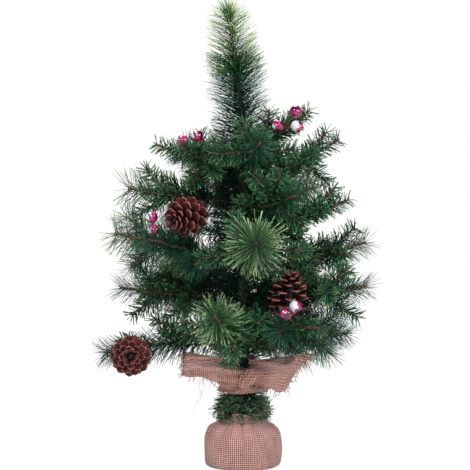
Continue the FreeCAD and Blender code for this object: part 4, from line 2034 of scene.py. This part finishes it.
@dataclass(frozen=True)
class Studio:
    """Camera, floor, world and lights of a plain product picture."""

    camera: tuple[float, float, float] = (-0.010, -2.10, 0.360)
    target: tuple[float, float, float] = (-0.010, 0.0, 0.298)
    lens: float = 125.0
    lamps: tuple[Lamp, ...] = (
        Lamp((-1.1, -1.6, 2.0), 0.9, 42.0),
        Lamp((1.5, -1.3, 1.2), 1.1, 27.0),
        Lamp((0.1, 0.9, 2.0), 1.1, 26.0),
    )
    ambient: float = 0.20

    def build(self) -> None:
        """Sets up the studio."""
        self.aim()
        for number, lamp in enumerate(self.lamps):
            self.light(number, lamp)
        self.world()
        self.floor()

    def aim(self) -> None:
        """Places the camera."""
        data = bpy.data.cameras.new("camera")
        data.lens = self.lens
        data.dof.use_dof = False
        data.clip_end = 50.0
        camera = placed("camera", data)
        camera.location = self.camera
        camera.rotation_euler = facing(self.camera, self.target)
        bpy.context.scene.camera = camera
        bpy.context.scene.view_settings.view_transform = "Standard"

    @staticmethod
    def light(number: int, lamp: Lamp) -> None:
        """Adds one area light that faces the tree's middle.

        Args:
            number: tells it from the others.
            lamp: where and how strong.
        """
        data = bpy.data.lights.new(f"lamp_{number}", "AREA")
        data.energy = lamp.power
        data.size = lamp.size
        carrier = placed(f"lamp_{number}", data)
        carrier.location = lamp.place
        carrier.rotation_euler = facing(lamp.place, (0.0, 0.0, 0.3))

    def world(self) -> None:
        """A white backdrop that lights the tree only softly."""
        world = bpy.data.worlds.new("studio")
        bench = emptied(world)
        seen = bench.add("ShaderNodeLightPath").out("Is Camera Ray")
        strength = self.ambient + seen * (1.0 - self.ambient)
        back = bench.add("ShaderNodeBackground", {"Color": (1.0, 1.0, 1.0), "Strength": strength})
        bench.add("ShaderNodeOutputWorld", {"Surface": back.out()})
        bpy.context.scene.world = world

    @staticmethod
    def floor() -> None:
        """A plain white floor that fades into the backdrop."""
        wide = 6.0
        corners = [(-wide, -wide, 0.0), (wide, -wide, 0.0), (wide, wide, 0.0), (-wide, wide, 0.0)]
        mesh = shell("floor", corners, [], [(0, 1, 2, 3)])
        material = bpy.data.materials.new("floor_paper")
        bench = emptied(material)
        seen = bench.add("ShaderNodeLightPath").out("Is Camera Ray")
        paper = bench.add("ShaderNodeBsdfDiffuse", {"Color": (0.9, 0.9, 0.9)}).out()
        glow = bench.add("ShaderNodeEmission", {"Color": (1.0, 1.0, 1.0), "Strength": 1.08}).out()
        mixed = bench.add("ShaderNodeMixShader", {0: seen * 0.93, 1: paper, 2: glow}).out()
        bench.add("ShaderNodeOutputMaterial", {"Surface": mixed})
        mesh.materials.append(material)
        placed("floor", mesh)


def branches() -> list[Branch]:
    """The branches, named and placed as in the frame.

    A row gives a branch's name, its root's height, its azimuth, its reach, its end's height and how
    far its side tips spread, in millimetres and degrees. Then come the needles of its main tip and
    of its side tips, how much higher the side tips end, and its short tips by their first letters.

    Returns:
        The branches.
    """
    soft, flat, fine = Needles.SOFT, Needles.FLAT, Needles.FINE
    rows = (
        ("top_right", 404, 338, 90, 456, 40, flat, flat, -8, "FUT"),
        ("top_front", 392, 281, 108, 414, 32, fine, flat, -14, "LNFUT"),
        ("top_left", 384, 190, 112, 414, 28, flat, flat, -10, "FUT"),
        ("upper_right", 362, 356, 122, 420, 30, flat, flat, -20, "LHFU"),
        ("upper_front_right", 328, 300, 130, 350, 22, fine, flat, 20, "LHNU"),
        ("upper_left", 336, 166, 154, 358, 26, soft, flat, -6, "LHNUT"),
        ("upper_back_left", 366, 116, 116, 408, 30, soft, fine, -8, "LHUT"),
        ("upper_back_right", 340, 64, 134, 374, 30, flat, soft, -8, "LHNFU"),
        ("mid_right", 300, 346, 138, 344, 20, flat, flat, -10, "LNFUT"),
        ("mid_front", 276, 276, 150, 292, 30, soft, flat, -20, "LHFUT"),
        ("mid_left", 268, 192, 166, 302, 24, soft, fine, -14, "LHNFT"),
        ("mid_back", 280, 90, 156, 312, 28, fine, flat, -8, "LHNT"),
        ("outer_right", 252, 6, 160, 288, 22, fine, flat, -14, "LHNFU"),
        ("low_left", 216, 178, 158, 230, 20, fine, flat, -6, "LHFUT"),
        ("low_right", 206, 336, 168, 236, 20, fine, flat, -6, "LHUT"),
        ("low_back_left", 226, 132, 164, 250, 22, flat, soft, -6, "LHNFUT"),
        ("low_back_right", 214, 52, 164, 236, 26, fine, flat, -6, "LHNFU"),
        ("bottom_left", 168, 198, 182, 152, 22, fine, flat, 8, "N"),
        ("bottom_front", 160, 256, 142, 204, 25, soft, flat, -10, "LHNFUT"),
        ("bottom_right", 164, 14, 142, 168, 30, fine, fine, 6, "LHNFUT"),
        ("bottom_front_right", 188, 308, 150, 188, 18, flat, fine, -4, "HNU"),
    )
    ways = {"top_right": (1,), "bottom_left": (-1,)}
    made = []
    letters = {tip.name[0]: tip for tip in Tip}
    for name, root, azimuth, reach, end, spread, main, sides, rise, tips in rows:
        crown = 0.0 if name == "bottom_front_right" else 0.3
        made.append(Branch(
            name, root * MM, math.radians(azimuth), reach * MM, end * MM, math.radians(spread), main, sides,
            tuple(letters[letter] for letter in tips), rise * MM, picks().get(name, ()),
            ways.get(name, (1, -1)), crown,
        ))
    return made


def picks() -> dict[str, tuple[Pick, ...]]:
    """The cones and berries on each branch that carries some.

    Returns:
        The ornaments by the branch's name, placed in metres. A cone has an axis, a berry has none.
    """
    return {
        # each berry's share sets how much of it the painted highlight, drawn as frosting, covers
        "top_right": (
            Pick(0.50, (0.066, -0.056, 0.454), frost_highlight_share=-0.3),
            Pick(0.62, (0.068, -0.046, 0.436), frost_highlight_share=0.34),
            Pick(0.40, (0.044, -0.044, 0.436), frost_highlight_share=0.04),
        ),
        "top_left": (
            Pick(0.60, (-0.076, -0.040, 0.418), frost_highlight_share=0.02),
            Pick(0.48, (-0.058, -0.036, 0.424), frost_highlight_share=0.10),
        ),
        "mid_left": (
            Pick(0.36, (-0.074, -0.048, 0.322), axis=(-0.50, -0.80, -0.16)),
            Pick(0.66, (-0.114, -0.062, 0.322), frost_highlight_share=0.12),
            Pick(0.72, (-0.112, -0.066, 0.306), frost_highlight_share=0.10),
        ),
        "bottom_left": (Pick(0.62, (-0.139, -0.087, 0.151), axis=(0.05, -0.99, 0.08)),),
        "bottom_front_right": (
            Pick(0.44, (0.056, -0.080, 0.228), axis=(0.10, -0.25, 0.96)),
            Pick(0.58, (0.064, -0.116, 0.214), frost_highlight_share=0.30),
            Pick(0.68, (0.052, -0.124, 0.206), frost_highlight_share=-0.1),
        ),
    }


def main() -> None:
    """Builds the studio, then the tree from its base to its top tip."""
    logging.basicConfig(level=logging.INFO, format="%(message)s")
    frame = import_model()
    Studio().build()
    cones = ConeShape()
    template = cones.template()
    crop = Crop(NeedleBrush(), TwistedWire(), ConeScales(template))
    Sack(crop).dress()
    Sash(crop).dress()
    Trunk(crop, frame).dress()
    boughs = Boughs(crop, cones)
    for branch in branches():
        boughs.dress(branch)
    Leader(crop).dress()
    bpy.data.objects.remove(template)
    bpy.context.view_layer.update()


if __name__ == "__main__":
    main()
